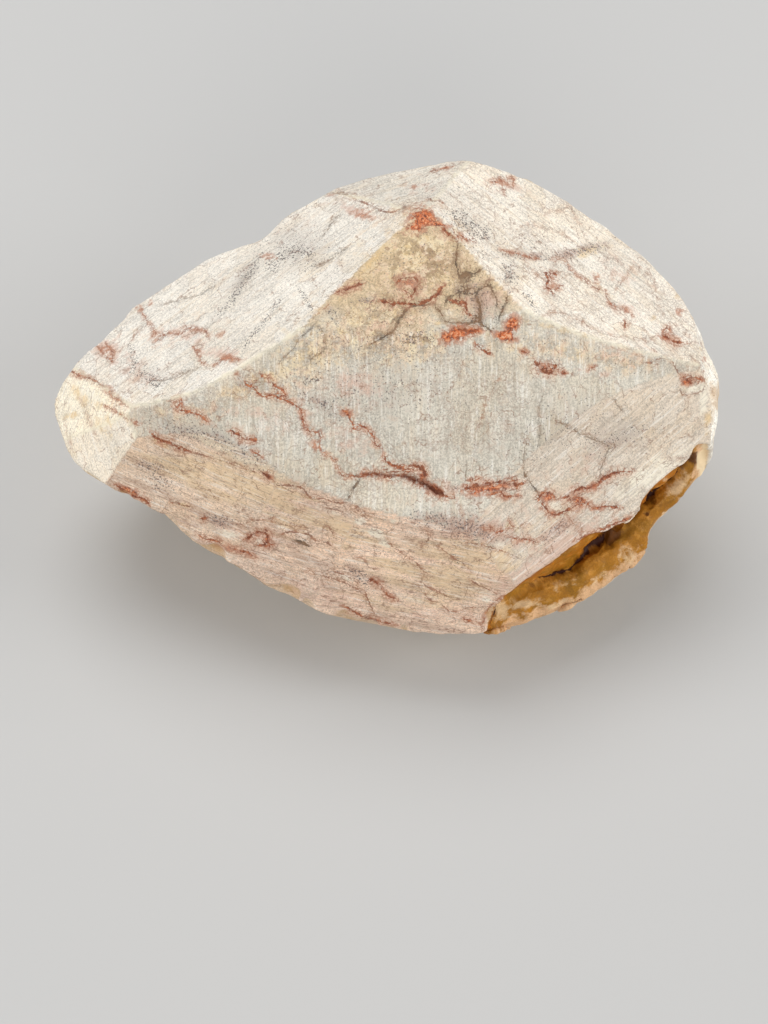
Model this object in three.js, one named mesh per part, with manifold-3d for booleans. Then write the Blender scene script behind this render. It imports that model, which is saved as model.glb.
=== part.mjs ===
// Ribbon calcite: one loose stone, about 145 x 103 mm across its face, ground by hand into broad
// flat faces over a natural rind. The crest keeps a patch of natural honey-coloured skin, a red
// seam stands open in the main face, and a crevice lined with honey calcite runs along its lower
// right edge. It lies on a small flat ground on its back. Millimetres, +Z up.
import * as THREE from "three";
import { ImprovedNoise } from "three/addons/math/ImprovedNoise.js";
import { mergeVertices } from "three/addons/utils/BufferGeometryUtils.js";
import Module from "manifold-3d";

const wasm = await Module();
wasm.setup();

// ---------------------------------------------------------------- driving dimensions
// The stone is shaped in its face frame: x to the right, y towards the crest, z out of the main
// face. LEAN turns that frame about x, so that the main face looks up and a little forward.
const LEAN = THREE.MathUtils.degToRad(30);
const BASE_LEVEL = -36; // height of the resting flat below the face frame's origin

// The natural stone before grinding: its rim, and how far it bulges in front of and behind it.
const FRONT_BULGE = 36;
const BACK_BULGE = 43;
const FRONT_SHOULDER = 3; // superellipse powers: 2 is an ellipse, more is squarer
const RIGHT_SHOULDER = 2.25;
const BACK_SHOULDER = 2.4;
const RIGHT_END = [0.5, 0.9]; // cosines between which the right end's shoulder takes over
const KEEL_LIFT = 9; // the rim comes forward by this much along the lower edge
const KEEL_TURN = 0.35; // the most forward point lies this far left of the bottom, in radians
const STONE_DETAIL = 19; // subdivisions of the icosahedron that the rind is made on
const RIND_LUMPS = { size: 26, depth: 2.6 }; // behind the rim only
const RIND_LUMPS_START = [0.02, 0.3]; // shares of the way to the back where they rise from nothing
const RIND_KNOBS = { size: 9, depth: 0.45 }; // all over
const RIM = [
  [72, -2.2], [71.4, 5.4], [68.8, 12.2], [65.6, 18.8], [60.1, 26.3], [53.2, 31.7],
  [46.2, 37.1], [40.4, 41.3], [32.6, 45.8], [24.7, 48.8], [15.8, 50.4], [6.9, 49.2],
  [-0.9, 48], [-8.7, 45.8], [-13, 44], [-18.4, 40.8], [-23.9, 37.2], [-27.4, 34.1],
  [-32.3, 32.8], [-38.2, 30.2], [-45.1, 26], [-51, 22.1], [-57.8, 18.2], [-63.8, 13.2],
  [-67.7, 10.2], [-70.6, 7], [-72.4, 1.4], [-72.6, -2.8], [-71.4, -7.2], [-69.2, -11.1],
  [-66, -15.9], [-62.6, -17.7], [-58.4, -20.6], [-52.9, -22.7], [-49, -24.9], [-44.9, -28.7],
  [-39.1, -32.4], [-31.9, -36.9], [-23.2, -42], [-14.5, -46.3], [-8, -48.7], [-0.9, -49.7],
  [7.2, -50.8], [13.5, -51.3], [19.1, -51.1], [27.6, -49.4], [35.2, -47], [43, -43.7],
  [50.8, -38.6], [58.2, -32], [64.2, -24.6], [69, -17.8], [71.1, -10.5],
];

// Ground faces. Each goes through a point, leans away from the main face's normal by tilt, and
// looks towards heading, which is measured in the face from x towards y. Degrees.
const GROUND_FACES = {
  upperLeft: { through: [-22, 11, 26.7], tilt: 46.7, heading: 125.4 },
  crest: { through: [3.7, 38.5, 18.7], tilt: 55.5, heading: 107 },
  upperRight: { through: [31, 14.5, 26.5], tilt: 39.9, heading: 55.5 },
  leftEndUpper: { through: [-54.2, -2.7, 18.5], tilt: 46.5, heading: 168 },
  leftEndLower: { through: [-54.2, -7, 18.6], tilt: 43, heading: 190 },
  lowerLeftStrip: { through: [-41, -8, 25.1], tilt: 25, heading: -130 },
  lowerLeft: { through: [-30, -13, 27], tilt: 35.3, heading: -125 },
  lowerMiddle: { through: [-13, -21.8, 27.4], tilt: 35.6, heading: -113 },
  keel: { through: [0, -25.3, 28], tilt: 36.8, heading: -101.4 },
  right: { through: [40, -5.2, 23.9], tilt: 25.2, heading: -30.4 },
};
// The main face bends a little about an axis that runs up the face: its height at each x.
const MAIN_FACE = [
  [-100, -3], [-75, 9.4], [-56, 18.1], [-40, 25.2], [-25, 27.4], [-8, 28], [8, 27.9],
  [25, 26.9], [40, 24], [56, 19.3], [72, 13.6], [100, 3],
];
const MAIN_FACE_STEPS = 48;
// Faces that are only broken, with their own relief in millimetres.
const BROKEN_FACES = {
  honeyPatch: { through: [7, 11.8, 28], tilt: 15.6, heading: 90, relief: 0.6, size: 120 },
  backRight: { through: [50, 16, -17], tilt: 122, heading: 30, relief: 1.7, size: 150 },
  backLeft: { through: [-42, 10, -22], tilt: 128, heading: 140, relief: 1.9, size: 150 },
  backCrest: { through: [6, 30, -26], tilt: 127, heading: 84, relief: 1.6, size: 150 },
  underRight: { through: [52, -22, -12], tilt: 124, heading: -32, relief: 1.5, size: 130 },
};
const BROKEN_CELL = 3.6; // spacing of the points on a broken face
const BROKEN_LUMP = 16; // size of its lumps
const BROKEN_GRIT = 6; // size of the finer relief over them
const BROKEN_GRIT_SHARE = 0.4;

// The crevice: the edge of the ground face that it starts from, then at each of those points its
// width out to the lip, and how far out its crack runs.
const CREVICE_EDGE = [
  [65.6, -9.6], [63.9, -13.2], [60.4, -15.9], [56.4, -19.5], [53.9, -22.4], [53.2, -24.6],
  [51.1, -27], [48.1, -27.9], [45.9, -29.2], [42.3, -30], [39.2, -31.9], [36.2, -34.2],
  [31.7, -37.5], [28.3, -39.7], [24.6, -42.8], [23.1, -45], [22, -48.2],
];
const CREVICE_WIDTH = [
  2.5, 5.5, 8, 9, 9.5, 10, 10.3, 10.3, 10.8, 11.5, 11.8, 11.8, 11.2, 10, 8.2, 6.2, 4,
];
const CRACK_OUT = [0.8, 1.5, 2, 2, 1.5, 1, 0.9, 1.4, 2, 2.9, 3.9, 4.5, 2.8, 1.4, 1, 1, 0.9];
const CREVICE_FLOOR = [12, 9, 6, 5, 5, 5, 5.5, 6, 7, 8, 8.5, 9, 9.5, 10, 9.5, 8.5, 8];
const CREVICE_STEPS = 44;
const CREVICE_OUT = [0.69, -0.72]; // the way across the crevice, in the face
const CREVICE_TOP = 36; // clear of the stone's front
// The crevice's section, with heights above its floor: the wall, by share of the way from the
// edge to the crack; the bed, by share of the way from the crack to the lip; and what lies past
// the lip, in millimetres.
const CREVICE_WALL = [[0, 9], [0.45, 4.5]];
const CREVICE_BED = [[0.28, 0.5], [0.55, -0.5], [0.8, -2.4]];
const PAST_LIP = [[1.2, -5.6], [12, -9]];
const CRACK_DEPTH = 4;
const CRACK_HALF_WIDTH = 0.35;
const CRACK_BANKS = [0.6, 0.3]; // heights of the crack's two edges above the floor
const CRACK_TAPER = 0.5; // power with which the crack grows shallow towards its ends
// Crystals on the crevice, as lumps with grit on them, and the points of its section that carry
// them: all but those outside the stone and the crack's bottom.
const CRYSTALS = [{ size: 7, layers: 2, depth: 0.75 }, { size: 2.6, layers: 1, depth: 0.25 }];
const CRYSTAL_POINTS = [2, 3, 5, 6, 7, 8, 9];
const CRYSTAL_PUSH = 0.5; // share of a crystal's height that also leans it outwards

// The open stretch of the red seam, on the main face.
const SEAM = [
  [-6, -17.6], [-2, -17.4], [3.2, -17.6], [5.3, -18.3], [7.9, -19.3], [10.3, -21.1], [12, -21.8],
];
const SEAM_OPENING = [0.25, 0.3, 0.4, 0.7, 1, 0.9, 0.3]; // share of the full width
const SEAM_HALF_WIDTH = 0.75;
const SEAM_DEPTH = 1.9;
const SEAM_BANK = 0.4; // below the face, where the seam's sides turn steeper
const SEAM_CLEAR = 2; // how far the cut stands above the face
const SEAM_FLARE = 1.6; // and how much wider it is there
const SEAM_WAVER = 0.5; // share by which its width varies
const SEAM_STEPS = 18;

// Chips along the lower left edge.
const CHIPS = 22;
const CHIP_FROM = [-67, -15.5];
const CHIP_TO = [12, -51.5];
const CHIP_RADIUS = 2.1;
const CHIP_STRETCH = [1.5, 1, 1.1];
const CHIP_LEVEL = 11.5; // height of their middles, and how far it varies
const CHIP_LEVEL_RANGE = 1.5;
const CHIP_OUTSIDE = 0.4; // how far outside the rim their middles lie

const SLIVER = 0.01; // detail finer than this is dropped once the cutting is done

// ---------------------------------------------------------------- helpers
const FAR = 240; // longer than the stone, for tools that cut right across it
const noise = new ImprovedNoise();

// Layered noise of about -1 to 1, with lumps of the given size.
function relief(point, size, layers = 3) {
  let sum = 0;
  for (let layer = 0, share = 0.6; layer < layers; layer++, share *= 0.5) {
    const s = 2 ** layer / size;
    sum += share * noise.noise(point.x * s + 7.3 * layer, point.y * s + 31.7, point.z * s + 3.1);
  }
  return 1.6 * sum;
}

// A closed geometry as a solid.
function solid(geometry) {
  const bare = new THREE.BufferGeometry();
  bare.setAttribute("position", geometry.getAttribute("position"));
  bare.setIndex(geometry.getIndex());
  const merged = mergeVertices(bare, 1e-4);
  return new wasm.Manifold(
    new wasm.Mesh({
      numProp: 3,
      vertProperties: new Float32Array(merged.getAttribute("position").array),
      triVerts: new Uint32Array(merged.getIndex().array),
    }),
  );
}

// A solid as a geometry that three.js draws.
function geometryOf(stone) {
  const mesh = stone.getMesh();
  const geometry = new THREE.BufferGeometry();
  geometry.setAttribute("position", new THREE.BufferAttribute(mesh.vertProperties, 3));
  geometry.setIndex(new THREE.BufferAttribute(mesh.triVerts, 1));
  geometry.computeVertexNormals();
  return geometry;
}

// A direction that leans from the main face's normal by tilt, towards heading.
function facing({ tilt, heading }) {
  const lean = THREE.MathUtils.degToRad(tilt);
  const turn = THREE.MathUtils.degToRad(heading);
  return new THREE.Vector3(
    Math.sin(lean) * Math.cos(turn),
    Math.sin(lean) * Math.sin(turn),
    Math.cos(lean),
  );
}

// A closed tube through equal sections, each a list of points, with flat ends.
function sweep(sections, flatEnd) {
  const around = sections[0].length;
  const points = sections.flat();
  const faces = [];
  for (let i = 0; i + 1 < sections.length; i++)
    for (let k = 0; k < around; k++) {
      const [a, b] = [i * around + k, i * around + ((k + 1) % around)];
      faces.push(a, b, a + around, b, b + around, a + around);
    }
  const last = (sections.length - 1) * around;
  for (const [a, b, c] of THREE.ShapeUtils.triangulateShape(flatEnd, []))
    faces.push(a, c, b, last + a, last + b, last + c);
  const geometry = new THREE.BufferGeometry().setFromPoints(points);
  geometry.setIndex(faces);
  return geometry;
}

// A list of numbers read at a share of its length, with straight runs between them.
function along(values, share) {
  const at = share * (values.length - 1);
  const k = Math.min(Math.floor(at), values.length - 2);
  return THREE.MathUtils.lerp(values[k], values[k + 1], at - k);
}

// ---------------------------------------------------------------- the natural stone
const rim = new THREE.CatmullRomCurve3(
  RIM.map(([x, y]) => new THREE.Vector3(x, y, 0)),
  true,
);

// The rim's radius by angle, read off the curve once.
const rimRadii = (() => {
  const samples = rim.getPoints(720).map((p) => [Math.atan2(p.y, p.x), Math.hypot(p.x, p.y)]);
  return samples.sort((a, b) => a[0] - b[0]);
})();

function rimRadius(angle) {
  const after = rimRadii.findIndex(([a]) => a >= angle);
  if (after <= 0) return rimRadii[0][1];
  const [[a0, r0], [a1, r1]] = [rimRadii[after - 1], rimRadii[after]];
  return a1 > a0 ? THREE.MathUtils.lerp(r0, r1, (angle - a0) / (a1 - a0)) : r1;
}

// A point of the unit sphere, carried to the natural stone's skin.
function skinPoint(unit) {
  const angle = Math.atan2(unit.y, unit.x);
  const front = unit.z > 0;
  const rightward = THREE.MathUtils.smoothstep(Math.cos(angle), ...RIGHT_END);
  const frontShoulder = THREE.MathUtils.lerp(FRONT_SHOULDER, RIGHT_SHOULDER, rightward);
  const power = 2 / (front ? frontShoulder : BACK_SHOULDER);
  const reach = Math.hypot(unit.x, unit.y) ** power;
  const depth = Math.abs(unit.z) ** power;
  const radius = rimRadius(angle) * reach;
  const lower = Math.max(0, -Math.sin(angle + KEEL_TURN));
  const point = new THREE.Vector3(radius * Math.cos(angle), radius * Math.sin(angle), 0);
  point.z = KEEL_LIFT * lower * reach + (front ? FRONT_BULGE : -BACK_BULGE) * depth;
  const behind = THREE.MathUtils.smoothstep(-unit.z, ...RIND_LUMPS_START);
  const lumps = relief(point, RIND_LUMPS.size) * RIND_LUMPS.depth * behind;
  const knobs = relief(point, RIND_KNOBS.size) * RIND_KNOBS.depth;
  return point.addScaledVector(point.clone().normalize(), lumps + knobs);
}

function naturalStone() {
  const sphere = new THREE.IcosahedronGeometry(1, STONE_DETAIL);
  sphere.deleteAttribute("normal");
  sphere.deleteAttribute("uv");
  const merged = mergeVertices(sphere, 1e-5);
  const places = merged.getAttribute("position");
  for (let i = 0; i < places.count; i++) {
    const p = skinPoint(new THREE.Vector3().fromBufferAttribute(places, i));
    places.setXYZ(i, p.x, p.y, p.z);
  }
  return solid(merged);
}

// ---------------------------------------------------------------- what is taken off it
// A block whose lower side lies on a face. With relief, that side is rough.
function block(face) {
  const size = face.size ?? FAR;
  const cells = face.relief ? Math.round(size / BROKEN_CELL) : 1;
  const box = new THREE.BoxGeometry(size, size, size, cells, cells, 1);
  box.translate(0, 0, size / 2);
  const turn = new THREE.Quaternion().setFromUnitVectors(new THREE.Vector3(0, 0, 1), facing(face));
  box.applyQuaternion(turn);
  box.translate(...face.through);
  if (face.relief) roughen(box, face, size);
  return solid(box);
}

// Moves the points of a block's lower side in and out along the face's normal.
function roughen(box, face, size) {
  const normal = facing(face);
  const middle = new THREE.Vector3(...face.through);
  const places = box.getAttribute("position");
  for (let i = 0; i < places.count; i++) {
    const p = new THREE.Vector3().fromBufferAttribute(places, i);
    if (p.clone().sub(middle).dot(normal) > size / 2) continue;
    const grit = BROKEN_GRIT_SHARE * relief(p, BROKEN_GRIT, 2);
    p.addScaledVector(normal, face.relief * (relief(p, BROKEN_LUMP) + grit));
    places.setXYZ(i, p.x, p.y, p.z);
  }
}

// Height of the main face at an x.
const mainFaceCurve = new THREE.CatmullRomCurve3(
  MAIN_FACE.map(([x, z]) => new THREE.Vector3(x, 0, z)),
);
const mainFacePoints = mainFaceCurve.getPoints(MAIN_FACE_STEPS);

function mainFaceHeight(x) {
  const after = mainFacePoints.findIndex((p) => p.x >= x);
  const [a, b] = [mainFacePoints[after - 1], mainFacePoints[after]];
  return THREE.MathUtils.lerp(a.z, b.z, (x - a.x) / (b.x - a.x));
}

// Everything above the slightly bent main face.
function mainFaceBlock() {
  const outline = new THREE.Shape();
  outline.moveTo(mainFacePoints[0].x, FAR);
  for (const p of mainFacePoints) outline.lineTo(p.x, p.z);
  outline.lineTo(mainFacePoints.at(-1).x, FAR);
  const bar = new THREE.ExtrudeGeometry(outline, { depth: FAR, bevelEnabled: false });
  bar.rotateX(Math.PI / 2);
  bar.translate(0, FAR / 2, 0);
  return solid(bar);
}

// The crevice's section at a share of its length, as [distance out from the edge, height].
function creviceSection(share) {
  const width = along(CREVICE_WIDTH, share);
  const crack = along(CRACK_OUT, share);
  const floor = along(CREVICE_FLOOR, share);
  const open = Math.sin(Math.PI * Math.min(1, share * 1.05)) ** CRACK_TAPER;
  const wall = CREVICE_WALL.map(([part, height]) => [crack * part, floor + height]);
  const bed = CREVICE_BED.map(([part, height]) => [crack + part * (width - crack), floor + height]);
  const past = PAST_LIP.map(([away, height]) => [width + away, floor + height]);
  return [
    [0, CREVICE_TOP],
    ...wall,
    [crack - CRACK_HALF_WIDTH, floor + CRACK_BANKS[0]],
    [crack, floor - CRACK_DEPTH * open],
    [crack + CRACK_HALF_WIDTH, floor + CRACK_BANKS[1]],
    ...bed,
    ...past,
    [past.at(-1)[0], CREVICE_TOP],
  ];
}

// Height of the crystals at a point of the crevice.
function crystals(point) {
  let height = 0;
  for (const { size, layers, depth } of CRYSTALS) height += depth * relief(point, size, layers);
  return height;
}

// The crevice's empty space: a wall down to the crack, then a bed that rolls out to the lip.
function creviceSpace() {
  const edge = new THREE.CatmullRomCurve3(CREVICE_EDGE.map(([x, y]) => new THREE.Vector3(x, y, 0)));
  const out = new THREE.Vector3(...CREVICE_OUT, 0).normalize();
  const sections = [];
  for (let k = 0; k <= CREVICE_STEPS; k++) {
    const share = k / CREVICE_STEPS;
    const start = edge.getPoint(share);
    const section = creviceSection(share).map(([away, height], i) => {
      const p = start.clone().addScaledVector(out, away);
      p.z = height;
      const lump = CRYSTAL_POINTS.includes(i) ? crystals(p) : 0;
      p.z += lump;
      return p.addScaledVector(out, CRYSTAL_PUSH * lump);
    });
    sections.push(section);
  }
  const end = sections[0].map((p) => new THREE.Vector2(p.dot(out), p.z));
  return solid(sweep(sections, end));
}

// The seam's section, as [distance across, height], for its half width, the face's height and the
// seam's depth.
function seamSection(half, surface, depth) {
  return [
    [-half * SEAM_FLARE, surface + SEAM_CLEAR],
    [-half, surface - SEAM_BANK],
    [0, surface - depth],
    [half, surface - SEAM_BANK],
    [half * SEAM_FLARE, surface + SEAM_CLEAR],
  ];
}

// The open stretch of the seam: a narrow wedge that follows its line in the main face.
function seamSpace() {
  const line = new THREE.CatmullRomCurve3(SEAM.map(([x, y]) => new THREE.Vector3(x, y, 0)));
  const sections = [];
  for (let k = 0; k <= SEAM_STEPS; k++) {
    const share = k / SEAM_STEPS;
    const at = line.getPoint(share);
    const across = line.getTangent(share).applyAxisAngle(new THREE.Vector3(0, 0, 1), Math.PI / 2);
    const open = along(SEAM_OPENING, share);
    const waver = 1 + SEAM_WAVER * noise.noise(at.x * 1.7, at.y * 1.7, 0);
    const half = SEAM_HALF_WIDTH * open * waver;
    const section = seamSection(half, mainFaceHeight(at.x), SEAM_DEPTH * open);
    sections.push(
      section.map(([away, height]) => {
        const p = at.clone().addScaledVector(across, away);
        p.z = height;
        return p;
      }),
    );
  }
  const end = seamSection(1, 0, SEAM_DEPTH).map(([x, y]) => new THREE.Vector2(x, y));
  return solid(sweep(sections, end));
}

// One chip, as a small lump of empty space.
function chipSpace(index) {
  const share = (index + 0.5 + 0.6 * noise.noise(index * 1.3, 4.2, 0)) / CHIPS;
  const angleAt = Math.atan2(
    THREE.MathUtils.lerp(CHIP_FROM[1], CHIP_TO[1], share),
    THREE.MathUtils.lerp(CHIP_FROM[0], CHIP_TO[0], share),
  );
  const out = rimRadius(angleAt) + CHIP_OUTSIDE;
  const chip = new THREE.IcosahedronGeometry(1, 1);
  const size = CHIP_RADIUS * (0.8 + 0.9 * noise.noise(index * 2.1, 0.4, 9.2));
  chip.scale(...CHIP_STRETCH.map((stretch) => stretch * size));
  chip.rotateZ(index * 1.9);
  chip.rotateX(index * 0.8);
  const level = CHIP_LEVEL + CHIP_LEVEL_RANGE * Math.sin(index);
  chip.translate(out * Math.cos(angleAt), out * Math.sin(angleAt), level);
  return solid(chip);
}

// Everything below the resting flat, which is level once the stone leans back.
function baseBlock() {
  const box = new THREE.BoxGeometry(FAR, FAR, FAR);
  box.translate(0, 0, BASE_LEVEL - FAR / 2);
  box.rotateX(-LEAN);
  return solid(box);
}

// ---------------------------------------------------------------- the finished stone
function stoneGeometry() {
  let stone = naturalStone();
  for (const face of Object.values(BROKEN_FACES)) stone = stone.subtract(block(face));
  stone = stone.subtract(mainFaceBlock());
  for (const face of Object.values(GROUND_FACES)) stone = stone.subtract(block(face));
  stone = stone.subtract(creviceSpace());
  stone = stone.subtract(seamSpace());
  for (let k = 0; k < CHIPS; k++) stone = stone.subtract(chipSpace(k));
  stone = stone.subtract(baseBlock());
  return geometryOf(stone.asOriginal().simplify(SLIVER));
}

const calcite = new THREE.MeshStandardMaterial({ color: 0xe3d8c6, roughness: 0.72, metalness: 0 });
const stone = new THREE.Mesh(stoneGeometry(), calcite);
stone.name = "ribbon_calcite";
stone.rotation.x = LEAN;

// The origin is on the resting plane, under the middle of the stone.
const box = new THREE.Box3().setFromObject(stone, true);
const middle = box.getCenter(new THREE.Vector3());
stone.position.set(-middle.x, -middle.y, -box.min.z);

const group = new THREE.Group();
group.add(stone);
export default group;
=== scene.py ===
"""Looks of the ribbon calcite stone: one dense mesh laid on the CAD solid, with a procedural
stone material."""

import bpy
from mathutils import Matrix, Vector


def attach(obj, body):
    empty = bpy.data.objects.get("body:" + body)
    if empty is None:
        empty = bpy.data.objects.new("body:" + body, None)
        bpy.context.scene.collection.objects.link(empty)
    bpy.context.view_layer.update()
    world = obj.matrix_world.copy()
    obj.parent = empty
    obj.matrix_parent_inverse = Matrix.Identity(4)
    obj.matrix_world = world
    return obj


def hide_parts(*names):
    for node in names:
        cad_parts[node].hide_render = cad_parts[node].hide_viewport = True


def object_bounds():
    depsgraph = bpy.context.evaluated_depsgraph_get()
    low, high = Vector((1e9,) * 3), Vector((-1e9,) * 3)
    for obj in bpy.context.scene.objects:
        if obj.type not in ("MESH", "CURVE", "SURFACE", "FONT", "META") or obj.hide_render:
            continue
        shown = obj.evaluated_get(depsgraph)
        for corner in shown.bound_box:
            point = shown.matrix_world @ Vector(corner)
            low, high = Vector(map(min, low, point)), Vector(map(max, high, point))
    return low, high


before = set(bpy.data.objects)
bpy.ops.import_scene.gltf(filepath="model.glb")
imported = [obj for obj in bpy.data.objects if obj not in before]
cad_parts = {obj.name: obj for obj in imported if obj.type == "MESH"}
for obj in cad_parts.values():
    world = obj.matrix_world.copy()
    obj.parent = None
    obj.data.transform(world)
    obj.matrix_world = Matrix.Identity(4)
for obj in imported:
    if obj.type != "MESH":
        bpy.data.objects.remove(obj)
CAD_BOX = [[float(v) for v in corner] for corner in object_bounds()]

import math

import bmesh
import bpy
import numpy as np
from mathutils import Matrix, Vector, noise
from mathutils.bvhtree import BVHTree

NODE = "ribbon_calcite"
# Blender seeds the offsets of its vector noise from the clock unless it is given a number.
NOISE_SEED = 4

# ---------------------------------------------------------------- the stone's own frames
# Face frame, in millimetres: x right, y to the crest, z out of the main face.
LEAN = math.radians(30)
FACE_ORIGIN = Vector((0.27, 3.38, 36.0))
FACE_TO_ROW = Matrix.Rotation(LEAN, 3, "X")

# The camera looks straight at the main face, and its axis passes below the stone.
CAMERA_AWAY = 480.0
CAMERA_AXIS = (-0.65, -24.96)
PIXEL_MM = 0.217
PICTURE_WIDTH, PICTURE_HEIGHT = 768, 1024

# ---------------------------------------------------------------- shapes, as in the solid
# Ground faces: a point in the face frame, tilt from the main face's normal, heading. Degrees.
GROUND_FACES = {
    "upper_left": ((-22, 11, 26.7), 46.7, 125.4),
    "crest": ((3.7, 38.5, 18.7), 55.5, 107),
    "upper_right": ((31, 14.5, 26.5), 39.9, 55.5),
    "left_end_upper": ((-54.2, -2.7, 18.5), 46.5, 168),
    "left_end_lower": ((-54.2, -7, 18.6), 43, 190),
    "lower_strip": ((-41, -8, 25.1), 25, -130),
    "lower_left": ((-30, -13, 27), 35.3, -125),
    "lower_middle": ((-13, -21.8, 27.4), 35.6, -113),
    "keel": ((0, -25.3, 28), 36.8, -101.4),
    "right": ((40, -5.2, 23.9), 25.2, -30.4),
}
MAIN_FACE = [
    (-100, -3), (-75, 9.4), (-56, 18.1), (-40, 25.2), (-25, 27.4), (-8, 28), (8, 27.9),
    (25, 26.9), (40, 24), (56, 19.3), (72, 13.6), (100, 3),
]
CREVICE_EDGE = [
    (65.6, -9.6), (63.9, -13.2), (60.4, -15.9), (56.4, -19.5), (53.9, -22.4), (53.2, -24.6),
    (51.1, -27), (48.1, -27.9), (45.9, -29.2), (42.3, -30), (39.2, -31.9), (36.2, -34.2),
    (31.7, -37.5), (28.3, -39.7), (24.6, -42.8), (23.1, -45), (22, -48.2),
]
# The open seam in the main face.
SEAM = [
    (-6, -17.6), (-2, -17.4), (3.2, -17.6), (5.3, -18.3), (7.9, -19.3), (10.3, -21.1), (12, -21.8),
]
CRACK_BRIDGE = 1.0  # the solid's crack is closed over to this side, then cut again, finer
# At each of those points: how far out the crack runs, and how far out the lip is.
CRACK_OUT = [0.8, 1.5, 2, 2, 1.5, 1, 0.9, 1.4, 2, 2.9, 3.9, 4.5, 2.8, 1.4, 1, 1, 0.9]
LIP_OUT = [2.5, 5.5, 8, 9, 9.5, 10, 10.3, 10.3, 10.8, 11.5, 11.8, 11.8, 11.2, 10, 8.2, 6.2, 4]
OUTWARD = (0.69, -0.72)  # the way across the crevice, in the face
BOX_INSET = 0.0001  # metres that the looks stay inside the solid's box

# ---------------------------------------------------------------- mesh density
GRID = 72  # squares along each edge of the cube that the mesh starts from
CENTRE = Vector((1.0, -1.0, -3.0))  # the mesh is cast onto the solid from here
SEMI_AXES = Vector((72.0, 51.0, 36.0))
FRONT_FACING = 0.12  # faces turned further forward than this are split once more
SPREAD_ROUNDS = 300  # smoothing that lays the crevice's vertices out evenly
BRIDGE_ROUNDS = 250  # smoothing that closes the solid's crack


def to_row(p):
    """A point of the face frame, in the row's frame and in metres."""
    return (FACE_TO_ROW @ Vector(p) + FACE_ORIGIN) / 1000


def faces_to_row(points):
    """The same for an array of points."""
    turned = points @ np.array(FACE_TO_ROW).T
    return (turned + np.array(FACE_ORIGIN)) / 1000


def rows_to_face(points):
    """An array of the row's points, in metres, in the face frame."""
    return (points * 1000 - np.array(FACE_ORIGIN)) @ np.array(FACE_TO_ROW)


def picture_places(points):
    """Where points of the face frame fall in the picture, in pixels."""
    shrink = CAMERA_AWAY / (CAMERA_AWAY - points[:, 2])
    x = PICTURE_WIDTH / 2 + (points[:, 0] - CAMERA_AXIS[0]) * shrink / PIXEL_MM
    y = PICTURE_HEIGHT / 2 - (points[:, 1] - CAMERA_AXIS[1]) * shrink / PIXEL_MM
    return np.stack([x, y], 1)


def smoothstep(low, high, value):
    """0 at low, 1 at high, and low may be the larger of the two."""
    t = np.clip((value - low) / (high - low), 0, 1)
    return t * t * (3 - 2 * t)


# ---------------------------------------------------------------- the dense mesh
def solid_tree():
    """The CAD solid in the face frame, ready to be hit by rays."""
    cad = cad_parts[NODE].data
    places = np.empty(len(cad.vertices) * 3, np.float32)
    cad.vertices.foreach_get("co", places)
    places = rows_to_face(places.reshape(-1, 3).astype(float))
    polygons = [tuple(p.vertices) for p in cad.polygons]
    return BVHTree.FromPolygons([Vector(p) for p in places], polygons)


def cast(tree, vertices):
    """Puts each vertex on the solid, along its line from the stone's centre."""
    for v in vertices:
        way = (v.co - CENTRE).normalized()
        hit = tree.ray_cast(CENTRE, way)[0]
        if hit is not None:
            v.co = hit


def near_crevice(p):
    """Whether a point of the face frame is in the crevice or on its edges."""
    out = (p.x - 44) * OUTWARD[0] + (p.y + 29.4) * OUTWARD[1]
    return -2 < out < 14 and 18 < p.x < 70 and p.y < -5 and p.z > -8


def on_front(face):
    """Whether a face looks forward, or lies by the crevice."""
    middle = face.calc_center_median()
    return face.normal.z > FRONT_FACING or (middle.x > 15 and middle.y < -5 and middle.z > -6)


def in_crevice(face):
    """Whether a face lies in the crevice."""
    return near_crevice(face.calc_center_median())


def split_once(bm, chosen):
    """Halves the edges of the chosen faces, taken in the mesh's own order so that every run gives
    the same mesh."""
    bm.edges.index_update()
    picked = {e.index for f in bm.faces if chosen(f) for e in f.edges}
    edges = [e for e in bm.edges if e.index in picked]
    bmesh.ops.subdivide_edges(bm, edges=edges, cuts=1, use_grid_fill=True)


def dense_mesh(tree):
    """A cube's even grid cast onto the solid, finer in front and finest in the crevice."""
    bm = bmesh.new()
    bmesh.ops.create_cube(bm, size=2)
    bmesh.ops.subdivide_edges(bm, edges=bm.edges[:], cuts=GRID - 1, use_grid_fill=True)
    for v in bm.verts:
        even = Vector([math.tan(c * math.pi / 4) for c in v.co]).normalized()
        v.co = CENTRE + Vector([a * b for a, b in zip(even, SEMI_AXES)])
    cast(tree, bm.verts)
    bm.normal_update()
    split_once(bm, on_front)
    cast(tree, bm.verts)
    split_once(bm, in_crevice)
    cast(tree, bm.verts)
    bmesh.ops.recalc_face_normals(bm, faces=bm.faces)
    mesh = bpy.data.meshes.new("calcite_stone")
    bm.to_mesh(mesh)
    bm.free()
    return mesh


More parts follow.
